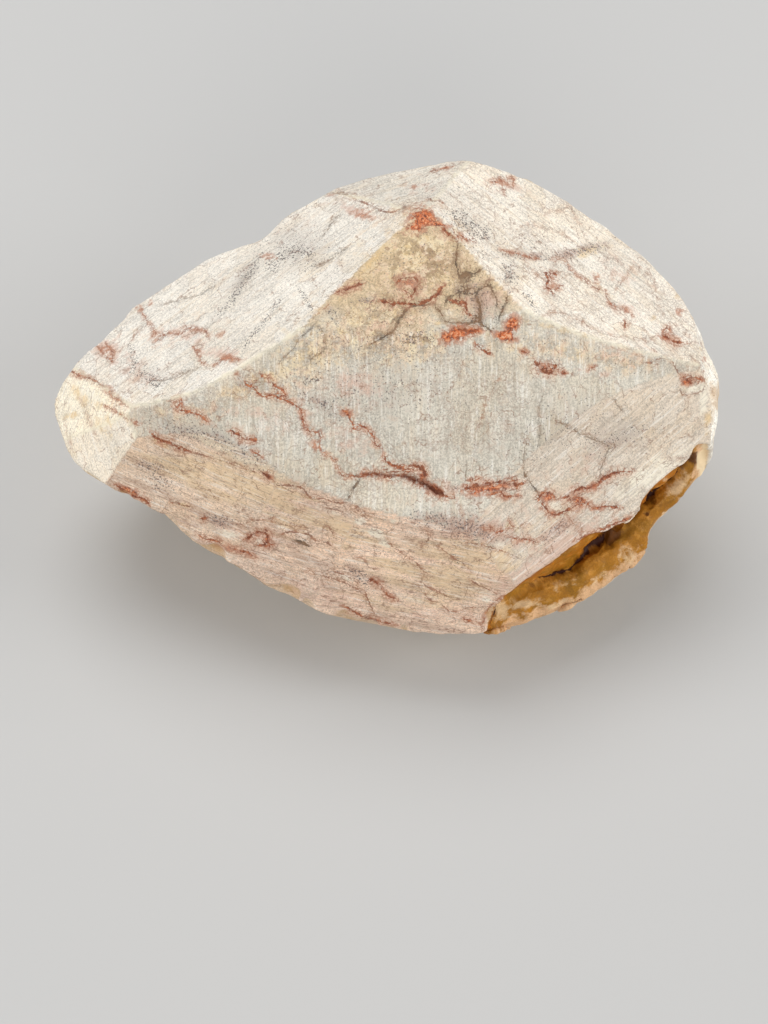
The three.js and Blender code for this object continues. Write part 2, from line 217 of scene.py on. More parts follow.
def spread(mesh, tree):
    """Lays the crevice's vertices out evenly as seen from the front, then drops them on the solid.

    Returns which vertices those are.
    """
    points = get_points(mesh)
    edges = get_edges(mesh)
    out = polyline_distance(points[:, :2], CREVICE_EDGE)[1]
    lip = polyline_distance(points[:, :2], beside_edge(LIP_OUT))[1]
    loose = (out > 0) & (lip < -0.3) & (points[:, 0] > 17) & (points[:, 1] < -4)
    loose &= (points[:, 2] > -8) & (get_normals(mesh)[:, 2] > -0.1)
    points[:, :2] = smooth(points[:, :2], edges, loose * 0.9, SPREAD_ROUNDS)
    for i in np.nonzero(loose)[0]:
        above = Vector((points[i, 0], points[i, 1], 100))
        hit = tree.ray_cast(above, Vector((0, 0, -1)))[0]
        if hit is not None:
            points[i] = hit
    points[:, 2:] = smooth(points[:, 2:], edges, loose * 0.6, 3)
    loose &= polyline_distance(points[:, :2], CREVICE_EDGE)[1] > 0.05
    crack = polyline_distance(points[:, :2], beside_edge(CRACK_OUT))[0]
    bridged = loose & (crack < CRACK_BRIDGE)
    points[:, 2:] = smooth(points[:, 2:], edges, bridged * 0.9, BRIDGE_ROUNDS)
    for end in (CREVICE_EDGE[0], CREVICE_EDGE[-1]):
        away = np.linalg.norm(points[:, :2] - np.array(end), axis=1)
        points = smooth(points, edges, np.where(points[:, 2] > -8, smoothstep(4, 1, away) * 0.6, 0), 12)
    set_points(mesh, points)
    return loose


def get_points(mesh):
    found = np.empty(len(mesh.vertices) * 3, np.float32)
    mesh.vertices.foreach_get("co", found)
    return found.reshape(-1, 3).astype(float)


def set_points(mesh, points):
    mesh.vertices.foreach_set("co", points.astype(np.float32).ravel())
    mesh.update()


def get_normals(mesh):
    found = np.empty(len(mesh.vertices) * 3, np.float32)
    mesh.vertices.foreach_get("normal", found)
    return found.reshape(-1, 3).astype(float)


def get_edges(mesh):
    found = np.empty(len(mesh.edges) * 2, np.int32)
    mesh.edges.foreach_get("vertices", found)
    return found.reshape(-1, 2)


def neighbour_mean(values, edges):
    """The mean of each vertex's neighbours."""
    a, b = edges[:, 0], edges[:, 1]
    size = len(values)
    count = np.bincount(a, minlength=size) + np.bincount(b, minlength=size)
    columns = []
    for column in values.reshape(size, -1).T:
        total = np.bincount(a, column[b], size) + np.bincount(b, column[a], size)
        columns.append(total / count)
    return np.stack(columns, 1).reshape(values.shape)


def smooth(points, edges, weight, rounds):
    """Moves points towards their neighbours by their weight, a number of times."""
    points = points.copy()
    moving = np.nonzero(weight > 0)[0]
    touching = np.isin(edges, moving).any(1)
    kept = np.unique(edges[touching])
    local = np.full(len(points), -1)
    local[kept] = np.arange(len(kept))
    near_edges = local[edges[touching]]
    part, share = points[kept], weight[kept, None]
    for _ in range(rounds):
        part = part + share * (neighbour_mean(part, near_edges) - part)
    points[moving] = part[local[moving]]
    return points


# ---------------------------------------------------------------- what each point belongs to
def facing(tilt, heading):
    """The normal of a ground face."""
    lean, turn = math.radians(tilt), math.radians(heading)
    return np.array([
        math.sin(lean) * math.cos(turn),
        math.sin(lean) * math.sin(turn),
        math.cos(lean),
    ])


def catmull_rom(knots, steps):
    """Centripetal curve through knots, the same kind that shapes the solid."""
    p = [np.array(k, float) for k in knots]
    p = [2 * p[0] - p[1]] + p + [2 * p[-1] - p[-2]]
    out = []
    for i in range(1, len(p) - 2):
        t = [0.0]
        for a, b in zip(p[i - 1:i + 2], p[i:i + 3]):
            t.append(t[-1] + math.sqrt(max(1e-9, np.linalg.norm(b - a))))
        for s in np.linspace(t[1], t[2], steps, endpoint=False):
            a1 = ((t[1] - s) * p[i - 1] + (s - t[0]) * p[i]) / (t[1] - t[0])
            a2 = ((t[2] - s) * p[i] + (s - t[1]) * p[i + 1]) / (t[2] - t[1])
            a3 = ((t[3] - s) * p[i + 1] + (s - t[2]) * p[i + 2]) / (t[3] - t[2])
            b1 = ((t[2] - s) * a1 + (s - t[0]) * a2) / (t[2] - t[0])
            b2 = ((t[3] - s) * a2 + (s - t[1]) * a3) / (t[3] - t[1])
            out.append(((t[2] - s) * b1 + (s - t[1]) * b2) / (t[2] - t[1]))
    out.append(p[-2])
    return np.array(out)


MAIN_CURVE = catmull_rom(MAIN_FACE, 12)


def heights(points):
    """How far each point stands above each ground face: one column per face, main face first."""
    main = np.interp(points[:, 0], MAIN_CURVE[:, 0], MAIN_CURVE[:, 1])
    slope = np.gradient(MAIN_CURVE[:, 1], MAIN_CURVE[:, 0])
    slope = np.interp(points[:, 0], MAIN_CURVE[:, 0], slope)
    columns = [(points[:, 2] - main) / np.sqrt(1 + slope**2)]
    for through, tilt, heading in GROUND_FACES.values():
        columns.append((points - np.array(through)) @ facing(tilt, heading))
    return np.stack(columns, 1)


def polyline_distance(places, line):
    """Unsigned distance, signed distance and how far along the line, for each 2D place."""
    line = np.array(line, float)
    best = np.full(len(places), 1e9)
    signed = np.full(len(places), 1e9)
    share = np.zeros(len(places))
    lengths = np.linalg.norm(np.diff(line, axis=0), axis=1)
    run = np.concatenate([[0], np.cumsum(lengths)])
    for k in range(len(line) - 1):
        a, b = line[k], line[k + 1]
        ab = b - a
        ap = places - a
        t = np.clip(ap @ ab / (ab @ ab), 0, 1)
        away = ap - t[:, None] * ab
        d = np.linalg.norm(away, axis=1)
        side = np.where(ab[0] * ap[:, 1] - ab[1] * ap[:, 0] >= 0, 1.0, -1.0)
        closer = d < best
        best = np.where(closer, d, best)
        signed = np.where(closer, side * d, signed)
        share = np.where(closer, (run[k] + t * lengths[k]) / run[-1], share)
    return best, signed, share


# ---------------------------------------------------------------- veins and stains, in picture pixels
# Each vein: half width in millimetres, then the places it runs through.
RED_VEINS = [
    (0.24, [(236, 372), (237, 377), (242, 382), (253, 387), (258, 393), (265, 397), (272, 395),
           (280, 398), (290, 402), (300, 408), (303, 420), (305, 428), (310, 432), (318, 431),
           (321, 437), (318, 441), (315, 448)]),
    (0.22, [(260, 373), (262, 377), (269, 378), (272, 383), (284, 392), (287, 398)]),
    (0.16, [(320, 440), (319, 446), (323, 452), (335, 460), (337, 466), (339, 472), (345, 477),
            (352, 476), (361, 478)]),
    (0.4, [(360, 478), (365, 474), (373, 473), (380, 475), (390, 477), (402, 476)]),
    (0.5, [(402, 476), (408, 477), (414, 481), (420, 480)]),
    (0.24, [(341, 409), (347, 412), (351, 421), (354, 429), (358, 431)]),
    (0.24, [(357, 424), (364, 427), (371, 433), (374, 438), (376, 445), (381, 448)]),
    (0.3, [(384, 454), (386, 460), (391, 465), (397, 466), (401, 469), (408, 472), (414, 470)]),
    (0.42, [(405, 465), (412, 466), (418, 466), (423, 469), (425, 474), (422, 480)]),
    (0.72, [(418, 481), (425, 484), (432, 488), (438, 492), (444, 496)]),
    (0.3, [(444, 496), (450, 498), (457, 498)]),
    (0.3, [(463, 490), (467, 488), (473, 490)]),
    (0.3, [(469, 480), (475, 480), (480, 478)]),
    (0.4, [(470, 485), (480, 486), (490, 484), (500, 482), (508, 484), (516, 485), (525, 483)]),
    (0.3, [(488, 495), (500, 492), (506, 497), (515, 496), (520, 497)]),
    (0.2, [(506, 478), (512, 479), (516, 476)]),
    (0.3, [(541, 502), (539, 496), (545, 492), (552, 494), (556, 499)]),
    (0.3, [(540, 501), (544, 507), (549, 511), (550, 515), (560, 514), (567, 511), (574, 506),
           (582, 504)]),
    (0.26, [(559, 499), (566, 498), (571, 495)]),
    (0.34, [(571, 502), (573, 498), (580, 498), (585, 501), (580, 507)]),
    (0.34, [(575, 497), (574, 491), (582, 488), (590, 488), (597, 485), (602, 479), (609, 475),
            (618, 472), (634, 471)]),
    (0.26, [(586, 500), (590, 506), (597, 509), (603, 506), (613, 507), (623, 508)]),
    (0.2, [(64, 366), (70, 371), (78, 375), (88, 378), (95, 381), (104, 387), (110, 394),
            (117, 399), (126, 406)]),
    (0.14, [(102, 405), (112, 409), (120, 414), (128, 420), (140, 424)]),
    (0.13, [(141, 309), (145, 318), (151, 325), (154, 332), (153, 340), (160, 338), (168, 331)]),
    (0.12, [(154, 337), (165, 333), (177, 332), (181, 334), (185, 327), (204, 329), (208, 337)]),
    (0.12, [(190, 345), (198, 351), (197, 353), (201, 361), (207, 365)]),
    (0.16, [(213, 365), (221, 358), (228, 356), (233, 360), (239, 359)]),
    (0.16, [(217, 335), (223, 330)]),
    (0.16, [(98, 347), (103, 353), (111, 360), (113, 352), (106, 343)]),
    (0.24, [(168, 401), (173, 402), (175, 407), (180, 410), (189, 412), (200, 415), (208, 423)]),
    (0.2, [(173, 402), (174, 398), (179, 397), (182, 401), (181, 407)]),
    (0.34, [(150, 432), (155, 438), (161, 441), (169, 443), (177, 447), (190, 452)]),
    (0.3, [(228, 430), (238, 433), (242, 439), (250, 440), (258, 440)]),
    (0.24, [(252, 451), (258, 454), (262, 457)]),
    (0.44, [(262, 472), (266, 475), (272, 479)]),
    (0.3, [(440, 226), (446, 231), (452, 236), (458, 240)]),
    (0.2, [(459, 233), (464, 238), (475, 241)]),
    (0.36, [(397, 284), (399, 279), (408, 277), (415, 278), (418, 283), (412, 295), (403, 289)]),
    (0.34, [(376, 301), (384, 301), (391, 304), (402, 303), (418, 304), (425, 302), (432, 298),
            (438, 293), (440, 289), (445, 285)]),
    (0.3, [(450, 300), (456, 302), (461, 305)]),
    (0.34, [(461, 300), (465, 304), (466, 311), (471, 316)]),
    (0.42, [(337, 292), (346, 289), (353, 287), (363, 283)]),
    (0.4, [(456, 328), (463, 330), (471, 332), (479, 331)]),
    (0.28, [(475, 343), (482, 350), (491, 354)]),
    (0.16, [(499, 177), (503, 183), (504, 190), (506, 194)]),
    (0.14, [(508, 176), (514, 178), (514, 185)]),
    (0.28, [(547, 271), (548, 280), (547, 287), (551, 289), (554, 293)]),
    (0.28, [(544, 272), (558, 274)]),
    (0.2, [(556, 289), (562, 285)]),
    (0.13, [(606, 290), (607, 297), (611, 303), (617, 307), (626, 309), (633, 316)]),
    (0.28, [(625, 321), (625, 328)]),
    (0.42, [(535, 360), (537, 365), (541, 370), (548, 373), (557, 371)]),
    (0.3, [(547, 363), (552, 370), (558, 366), (547, 363)]),
    (0.34, [(521, 351), (527, 353)]),
    (0.3, [(561, 372), (566, 373)]),
    (0.2, [(590, 366), (592, 368), (596, 366)]),
    (0.34, [(661, 334), (668, 337), (675, 341), (685, 342)]),
    (0.2, [(663, 331), (667, 326), (671, 330)]),
    (0.4, [(683, 376), (688, 381), (692, 383)]),
    (0.26, [(688, 376), (700, 379), (704, 381)]),
    (0.36, [(244, 540), (250, 537), (255, 533), (263, 533)]),
    (0.44, [(265, 530), (267, 536), (268, 541), (266, 545)]),
    (0.28, [(256, 547), (266, 546), (273, 545)]),
    (0.36, [(369, 579), (375, 583), (383, 587)]),
    (0.3, [(384, 592), (390, 597), (397, 600)]),
    (0.34, [(115, 485), (121, 490), (128, 493), (136, 497), (143, 499), (150, 505)]),
    (0.26, [(196, 534), (205, 540), (216, 541), (228, 548), (246, 553), (256, 560)]),
    (0.3, [(199, 520), (206, 519)]),
    (0.26, [(342, 606), (352, 611), (366, 618), (380, 622), (396, 625)]),
    (0.22, [(462, 620), (470, 621), (477, 622)]),
    (0.22, [(508, 538), (516, 539), (524, 539), (532, 541), (538, 543)]),
    (0.2, [(484, 528), (490, 528), (496, 532), (503, 531), (508, 528)]),
    (0.16, [(430, 171), (444, 168), (453, 165)]),
    (0.1, [(500, 248), (506, 251), (515, 252), (521, 254), (530, 256), (539, 259)]),
    (0.11, [(551, 258), (562, 259), (567, 262), (570, 268), (576, 274), (584, 279), (590, 284),
            (598, 289), (606, 290)]),
    (0.2, [(492, 180), (497, 182)]),
    (0.3, [(575, 541), (585, 537), (594, 535), (603, 530), (612, 525), (622, 521), (632, 518)]),
    (0.16, [(482, 630), (484, 618), (492, 606), (504, 597)]),
]
BROWN_VEINS = [
    (0.32, [(326, 192), (344, 193), (350, 196), (362, 202), (374, 207), (382, 211), (392, 212),
            (400, 208), (412, 205)]),
    (0.24, [(426, 197), (431, 199), (440, 200), (446, 205)]),
    (0.12, [(527, 262), (534, 272), (541, 277), (546, 280)]),
    (0.16, [(543, 315), (550, 312), (560, 312), (567, 313), (573, 317), (580, 319), (586, 323),
            (592, 329), (601, 331), (608, 335), (616, 337), (626, 337)]),
    (0.16, [(640, 338), (650, 338), (658, 335)]),
    (0.14, [(546, 214), (553, 211), (562, 209), (570, 206), (576, 218), (581, 228), (587, 240)]),
    (0.12, [(518, 229), (524, 225), (532, 224), (545, 228), (560, 232), (567, 238), (576, 243)]),
    (0.14, [(633, 266), (628, 275), (620, 284), (616, 289)]),
    (0.14, [(648, 269), (654, 278), (656, 290)]),
    (0.14, [(499, 379), (492, 391), (486, 404), (481, 420), (477, 430)]),
    (0.26, [(625, 348), (632, 350), (638, 353)]),
    (0.2, [(642, 362), (650, 363), (658, 359), (665, 358), (672, 361), (677, 370), (684, 379)]),
    (0.18, [(682, 384), (680, 390), (682, 395), (688, 395), (696, 394), (703, 391), (706, 385),
            (705, 375), (703, 365), (699, 362)]),
    (0.14, [(690, 355), (697, 365)]),
    (0.12, [(667, 455), (672, 459), (680, 459), (690, 456)]),
    (0.22, [(237, 524), (245, 525), (252, 520), (260, 521), (268, 520), (276, 517)]),
    (0.2, [(268, 520), (275, 524), (290, 526), (300, 527), (308, 528), (311, 531)]),
    (0.31, [(278, 537), (285, 533), (292, 532), (300, 533), (308, 535), (312, 539), (316, 541),
            (321, 540), (327, 543), (334, 549)]),
    (0.2, [(322, 532), (323, 528), (327, 526), (331, 530), (334, 536)]),
    (0.22, [(302, 571), (314, 572), (328, 571), (340, 573), (350, 578), (361, 586)]),
    (0.22, [(314, 574), (330, 578), (345, 583), (355, 589), (364, 590)]),
    (0.25, [(364, 588), (366, 595), (369, 603), (373, 612), (378, 618)]),
    (0.28, [(380, 540), (388, 543), (395, 549), (402, 554), (412, 560), (418, 565), (423, 571),
           (432, 577)]),
    (0.2, [(408, 557), (415, 562), (421, 567)]),
    (0.22, [(422, 570), (422, 578), (421, 584), (425, 592), (426, 598), (433, 602), (440, 604),
            (446, 609), (449, 612), (460, 611), (470, 608), (480, 608), (489, 607)]),
    (0.2, [(421, 584), (429, 588), (438, 592), (447, 597), (456, 598)]),
    (0.22, [(420, 528), (427, 532), (430, 537), (427, 542), (421, 549)]),
    (0.22, [(433, 546), (439, 547), (446, 553), (453, 558), (462, 563), (471, 572)]),
    (0.22, [(470, 579), (477, 585), (487, 589), (499, 596)]),
    (0.2, [(463, 543), (475, 544), (486, 546), (500, 550), (514, 556), (523, 560)]),
    (0.17, [(355, 557), (364, 559), (368, 567), (378, 570)]),
    (0.28, [(272, 480), (278, 485), (290, 485), (303, 488), (308, 496), (313, 499), (322, 498),
           (336, 503), (345, 502), (352, 505), (361, 510), (370, 514), (378, 516)]),
    (0.2, [(320, 507), (330, 509), (338, 510), (346, 514)]),
    (0.2, [(345, 507), (357, 513), (370, 520)]),
    (0.2, [(190, 451), (203, 456), (220, 460), (240, 468), (262, 474)]),
    (0.31, [(168, 503), (175, 503), (183, 506), (191, 507)]),
    (0.2, [(568, 517), (574, 524), (579, 532), (586, 531)]),
    (0.12, [(146, 325), (140, 329), (136, 334), (131, 340)]),
    (0.28, [(509, 518), (511, 525), (516, 528), (523, 528)]),
    (0.12, [(78, 398), (84, 407), (85, 413), (88, 420), (92, 430), (97, 440)]),
    (0.1, [(64, 418), (65, 425), (67, 436), (71, 449)]),
    (0.2, [(331, 301), (326, 308), (320, 312), (313, 318)]),
]
DARK_CRACKS = [
    (0.26, [(458, 240), (457, 250), (456, 262), (458, 271), (461, 280), (461, 287), (457, 293),
            (452, 297)]),
    (0.3, [(462, 271), (466, 281), (468, 289), (465, 294)]),
    (0.3, [(462, 271), (468, 273), (474, 273), (481, 269)]),
    (0.2, [(464, 274), (470, 276), (476, 275)]),
    (0.36, [(445, 303), (449, 297), (456, 293), (462, 292), (468, 290)]),
    (0.26, [(498, 321), (502, 311), (506, 302), (508, 294)]),
    (0.2, [(489, 281), (493, 291), (497, 300), (497, 309)]),
    (0.24, [(484, 324), (488, 329), (493, 333)]),
    (0.44, [(467, 325), (472, 322), (478, 321), (484, 326)]),
    (0.34, [(369, 346), (378, 340), (385, 336), (393, 331), (397, 324), (400, 317), (405, 311),
            (411, 306), (420, 305), (436, 304)]),
    (0.2, [(433, 304), (440, 311), (444, 318)]),
    (0.2, [(441, 320), (452, 322), (463, 323), (470, 322)]),
    (0.32, [(475, 290), (477, 298), (480, 305), (480, 312), (481, 319)]),
    (0.24, [(478, 290), (484, 286), (491, 285)]),
    (0.4, [(455, 291), (461, 292), (467, 294)]),
    (0.14, [(316, 322), (311, 329), (304, 334), (298, 340), (294, 348), (288, 353), (279, 363)]),
    (0.12, [(320, 327), (324, 334), (326, 346)]),
    (0.12, [(325, 350), (318, 354), (311, 359)]),
    (0.2, [(524, 470), (526, 477), (530, 483), (535, 489), (539, 495)]),
    (0.4, [(538, 494), (541, 498)]),
    (0.12, [(526, 443), (524, 455), (524, 470)]),
    (0.13, [(613, 398), (620, 408), (623, 412)]),
    (0.14, [(553, 421), (567, 425), (577, 432), (590, 438), (608, 445), (622, 446)]),
    (0.14, [(610, 446), (606, 457), (602, 466), (599, 480)]),
    (0.22, [(360, 480), (356, 485), (352, 491), (348, 500)]),
    (0.12, [(467, 465), (466, 473), (465, 480)]),
    (0.1, [(538, 446), (541, 430), (538, 415), (541, 400)]),
    (0.1, [(161, 304), (180, 299), (200, 294), (214, 285)]),
    (0.24, [(341, 475), (345, 477), (352, 476), (359, 477)]),
    (0.3, [(295, 541), (302, 543), (309, 547)]),
    (0.14, [(340, 214), (333, 221), (328, 228), (322, 236)]),
    (0.14, [(347, 247), (340, 251), (332, 258), (325, 261), (316, 266)]),
    (0.14, [(158, 381), (170, 379), (180, 374), (190, 370), (200, 366)]),
]
# Rows of dark specks that run across the ground faces.
SPECKLE_ROWS = [
    (1.1, [(235, 298), (228, 304), (222, 310), (217, 314)]),
    (1.0, [(282, 299), (275, 303), (272, 310), (268, 318), (259, 326), (252, 333), (247, 342),
           (243, 349)]),
    # The next row follows a painted shadow streak, darkening it with specks.
    (1.4, [(262, 252), (255, 262), (250, 275), (240, 288), (225, 305)]),
    (1.0, [(296, 285), (306, 299), (312, 312)]),
    (2.4, [(266, 270), (280, 258), (296, 250), (314, 254)]),
    (2.4, [(140, 372), (150, 379), (160, 386)]),
    (1.2, [(129, 341), (134, 363), (131, 370), (143, 376)]),
    (3.2, [(452, 212), (464, 220), (478, 230), (490, 238)]),
    (2.2, [(504, 262), (510, 274), (516, 284)]),
    (1.2, [(523, 290), (530, 299), (538, 312)]),
    (0.9, [(301, 383), (312, 380), (322, 379)]),
    (0.9, [(150, 483), (160, 490)]),
    (1.4, [(138, 464), (150, 468)]),
    (2.0, [(212, 516), (224, 524)]),
    (1.6, [(350, 569), (360, 575), (368, 582)]),
]
# Stains, and a few painted shadows: centre, half length, half height, turn in degrees, strength.
RUST = [
    (423, 217, 15, 11, 10, 1.1), (415, 227, 11, 7, -20, 1.0), (438, 224, 12, 4, 8, 0.9),
    (447, 337, 9, 8, 0, 0.9), (458, 333, 9, 8, 0, 1.2), (473, 331, 11, 4, -4, 1.0),
    (506, 336, 11, 5, 10, 1.3), (512, 325, 7, 10, 20, 1.1), (408, 282, 13, 9, 0, 0.65),
    (546, 367, 9, 5, 10, 0.7), (687, 382, 6, 4, 0, 1.0), (666, 337, 7, 4, 10, 0.75),
    (680, 311, 5, 4, 0, 0.6), (105, 351, 9, 6, 45, 0.5), (139, 308, 4, 4, 0, 0.6),
    (150, 302, 3, 3, 0, 0.75), (227, 357, 8, 4, 10, 0.6), (436, 490, 10, 4, 34, 1.0),
    (422, 476, 4, 7, 0, 0.9), (490, 488, 28, 6, -6, 0.85), (474, 492, 10, 4, 10, 0.85),
    (512, 496, 9, 3, -10, 0.75), (364, 474, 6, 3, -10, 0.75), (388, 476, 9, 3, 0, 0.6),
    (548, 497, 8, 7, 0, 0.85), (578, 501, 9, 8, -10, 0.8), (597, 508, 8, 3, 0, 0.8),
    (347, 412, 8, 5, 0, 0.66), (315, 444, 5, 6, 0, 0.6), (302, 413, 3, 6, -20, 0.6),
    (362, 214, 12, 5, 8, 0.62), (268, 256, 11, 3, 8, 0.6), (109, 391, 7, 4, 45, 0.75),
    (82, 375, 10, 4, 22, 0.7), (116, 398, 4, 4, 0, 0.6), (130, 492, 15, 5, 24, 0.85),
    (352, 287, 13, 3, -12, 0.7), (594, 486, 16, 4, -25, 0.75), (254, 536, 10, 4, -25, 0.6),
    (267, 539, 3, 8, 0, 0.85), (505, 183, 9, 6, 10, 0.45), (413, 186, 4, 3, 0, 0.6),
    (493, 181, 4, 3, 0, 0.5), (524, 352, 4, 3, 0, 0.75), (563, 372, 4, 2, 0, 0.7),
    (597, 278, 4, 7, 0, 0.55), (552, 280, 7, 9, 0, 0.5), (376, 583, 8, 3, 30, 0.75),
    (390, 597, 7, 4, 30, 0.6), (520, 541, 12, 4, 8, 0.5), (159, 442, 8, 4, 35, 0.6),
    (268, 476, 6, 3, 35, 0.9), (552, 514, 8, 3, 0, 0.8), (626, 310, 4, 3, 0, 0.6),
    (384, 622, 18, 4, 12, 0.55), (232, 549, 26, 4, 18, 0.55), (706, 358, 3, 4, 0, 0.5),
    (706, 385, 3, 4, 0, 0.5), (588, 372, 14, 5, 0, 0.3), (330, 192, 5, 4, 0, 0.5),
]
HONEY = [
    (424, 262, 44, 34, 0, 1.0), (398, 312, 34, 26, 0, 0.9), (372, 330, 60, 26, -8, 0.85),
    (318, 350, 46, 22, -38, 0.8), (406, 345, 36, 18, 0, 0.8), (500, 340, 42, 12, 20, 0.5),
    (560, 350, 70, 12, 12, 0.55), (262, 380, 60, 10, -24, 0.6), (180, 414, 40, 9, -5, 0.4),
    (414, 338, 24, 9, 0, 1.3), (620, 362, 34, 10, 14, 0.7),
]
GREY = [
    (438, 520, 24, 8, 8, 0.95), (466, 528, 34, 11, 12, 0.95), (496, 540, 26, 7, 12, 0.5),
    (148, 466, 16, 7, 15, 0.85), (160, 480, 24, 8, 30, 0.6), (565, 521, 8, 9, 0, 0.6),
    (205, 436, 48, 9, 14, 0.75), (250, 458, 36, 8, 26, 0.6), (390, 392, 60, 30, 0, 0.35),
    # The entry at (244, 278) on the next line is a painted shadow streak.
    (300, 252, 36, 20, 30, 0.5), (244, 278, 8, 36, 35, 0.55), (150, 376, 20, 10, 20, 0.55),
    (480, 232, 36, 14, 35, 0.4), (366, 580, 24, 8, 28, 0.85), (218, 520, 14, 7, 20, 0.75),
    (560, 424, 60, 22, -25, 0.35), (478, 322, 9, 6, 0, 1.0), (460, 290, 8, 6, 0, 0.8),
    (476, 298, 12, 24, -20, 0.6), (322, 404, 26, 7, 28, 0.65),
    (614, 440, 40, 14, -28, 0.55), (366, 300, 10, 3, 0, 0.8), (331, 311, 5, 5, 0, 0.7),
    (476, 325, 8, 4, 0, 0.8), (450, 190, 30, 12, 10, 0.3), (530, 250, 40, 16, 0, 0.3),
    (480, 494, 5, 7, 0, 0.6), (452, 488, 9, 4, 10, 0.7), (302, 543, 12, 4, 20, 0.6),
    (312, 494, 14, 5, 20, 0.4), (510, 274, 9, 14, 20, 0.6), (455, 560, 8, 5, 40, 0.5),
    (556, 530, 20, 7, -30, 0.75), (414, 338, 20, 8, 0, 0.5),
    (530, 255, 34, 4, 4, 0.85), (580, 250, 32, 5, -14, 0.95),
]
OCHRE = [
    (104, 424, 14, 12, 0, 0.7), (78, 394, 6, 16, -30, 0.8), (72, 415, 9, 3, -20, 0.7),
    (96, 404, 12, 5, 20, 0.5), (128, 420, 14, 5, 40, 0.5), (74, 452, 10, 5, -10, 0.5),
    (160, 444, 8, 5, 20, 1.0), (690, 300, 6, 14, -20, 0.9), (704, 345, 4, 12, 0, 0.5),
    (708, 420, 4, 16, 10, 0.7), (700, 452, 8, 10, 0, 0.9), (405, 216, 18, 8, -40, 0.5),
    (660, 250, 14, 8, 40, 0.3), (366, 268, 40, 4, -50, 0.7), (584, 252, 28, 6, -12, 0.65),
    (596, 284, 20, 5, 40, 0.4), (512, 525, 8, 6, 50, 0.6), (436, 586, 16, 8, 50, 0.6),
    (438, 323, 5, 3, 0, 0.8), (653, 318, 5, 4, 0, 0.7), (677, 290, 6, 12, -30, 0.6),
    (560, 328, 60, 5, 14, 0.5), (184, 506, 12, 3, 10, 0.6), (500, 551, 30, 5, 10, 0.4),
]
BLUSH = [
    (110, 350, 22, 13, 30, 0.8), (134, 372, 26, 12, 30, 0.6), (180, 334, 34, 12, 0, 0.6),
    (216, 352, 26, 10, 20, 0.7), (358, 212, 20, 6, 16, 0.8), (424, 186, 26, 10, 0, 0.35),
    (504, 184, 20, 10, 20, 0.6), (552, 284, 14, 14, 0, 0.4), (622, 306, 22, 10, 30, 0.55),
    (622, 272, 22, 18, 0, 0.45), (608, 374, 12, 4, 0, 0.6), (88, 342, 10, 8, 0, 0.6),
    (670, 336, 24, 10, 10, 0.5), (640, 350, 40, 10, 14, 0.4), (300, 400, 24, 18, 40, 0.5),
    (350, 440, 26, 18, 50, 0.5), (470, 490, 50, 10, 0, 0.6), (560, 500, 40, 14, -10, 0.5),
    (480, 530, 60, 16, 8, 0.85), (260, 540, 40, 12, 10, 0.6), (222, 528, 36, 9, 16, 0.6),
    (330, 596, 60, 12, 18, 0.6), (440, 614, 50, 8, 5, 0.6), (420, 300, 50, 26, 0, 0.4),
    (200, 418, 24, 5, 25, 0.5), (130, 410, 20, 10, 30, 0.5), (600, 530, 40, 12, -30, 0.4),
    (300, 506, 34, 9, 16, 0.7), (428, 552, 18, 10, 50, 0.6), (540, 548, 26, 8, -30, 0.5),
    (556, 530, 26, 9, -30, 0.9), (355, 385, 34, 16, 10, 0.7), (620, 358, 30, 14, 15, 0.6),
    (590, 462, 50, 14, -25, 0.4), (484, 302, 24, 18, 0, 0.9), (388, 318, 30, 10, -20, 0.5),
    (560, 548, 50, 14, -34, 1.0), (520, 576, 26, 12, -35, 0.9), (250, 415, 50, 12, 15, 0.5),
    (530, 255, 34, 5, 4, 0.5), (580, 250, 32, 6, -14, 0.5),
]
TAN = [
    (250, 486, 70, 22, 18, 0.9), (190, 470, 50, 16, 14, 0.9), (480, 560, 60, 14, 10, 0.8),
    (452, 578, 30, 16, 20, 0.8), (330, 530, 60, 16, 12, 0.7), (390, 566, 40, 16, 20, 0.6),
    (420, 600, 60, 12, 5, 0.6),
]
CREAM = [
    (177, 403, 5, 5, 0, 1.0), (360, 522, 7, 4, 0, 0.9), (374, 533, 9, 4, 10, 1.0),
    (384, 543, 4, 9, -45, 0.9), (556, 507, 8, 5, 20, 0.8), (692, 389, 7, 4, 0, 1.0),
    (650, 476, 44, 14, -36, 0.7), (450, 312, 11, 4, 0, 0.5), (92, 395, 14, 6, 35, 0.7),
    (398, 384, 10, 6, 0, 0.5),
    (375, 462, 12, 4, 10, 0.6), (352, 466, 16, 10, 10, 0.5), (413, 470, 7, 3, 0, 0.9),
    (520, 486, 12, 4, 0, 0.6), (226, 534, 14, 5, 12, 0.7), (258, 542, 6, 4, 0, 0.6),
    (484, 600, 10, 5, 0, 0.6), (346, 578, 10, 3, 25, 0.7), (116, 383, 10, 8, 0, 0.4),
    (500, 545, 10, 5, 0, 0.6), (412, 471, 8, 3, 0, 0.8), (390, 520, 14, 4, 0, 0.5),
    (335, 511, 40, 6, 12, 0.45), (430, 250, 16, 8, 30, 0.4), (703, 396, 5, 26, 0, 0.9),
]
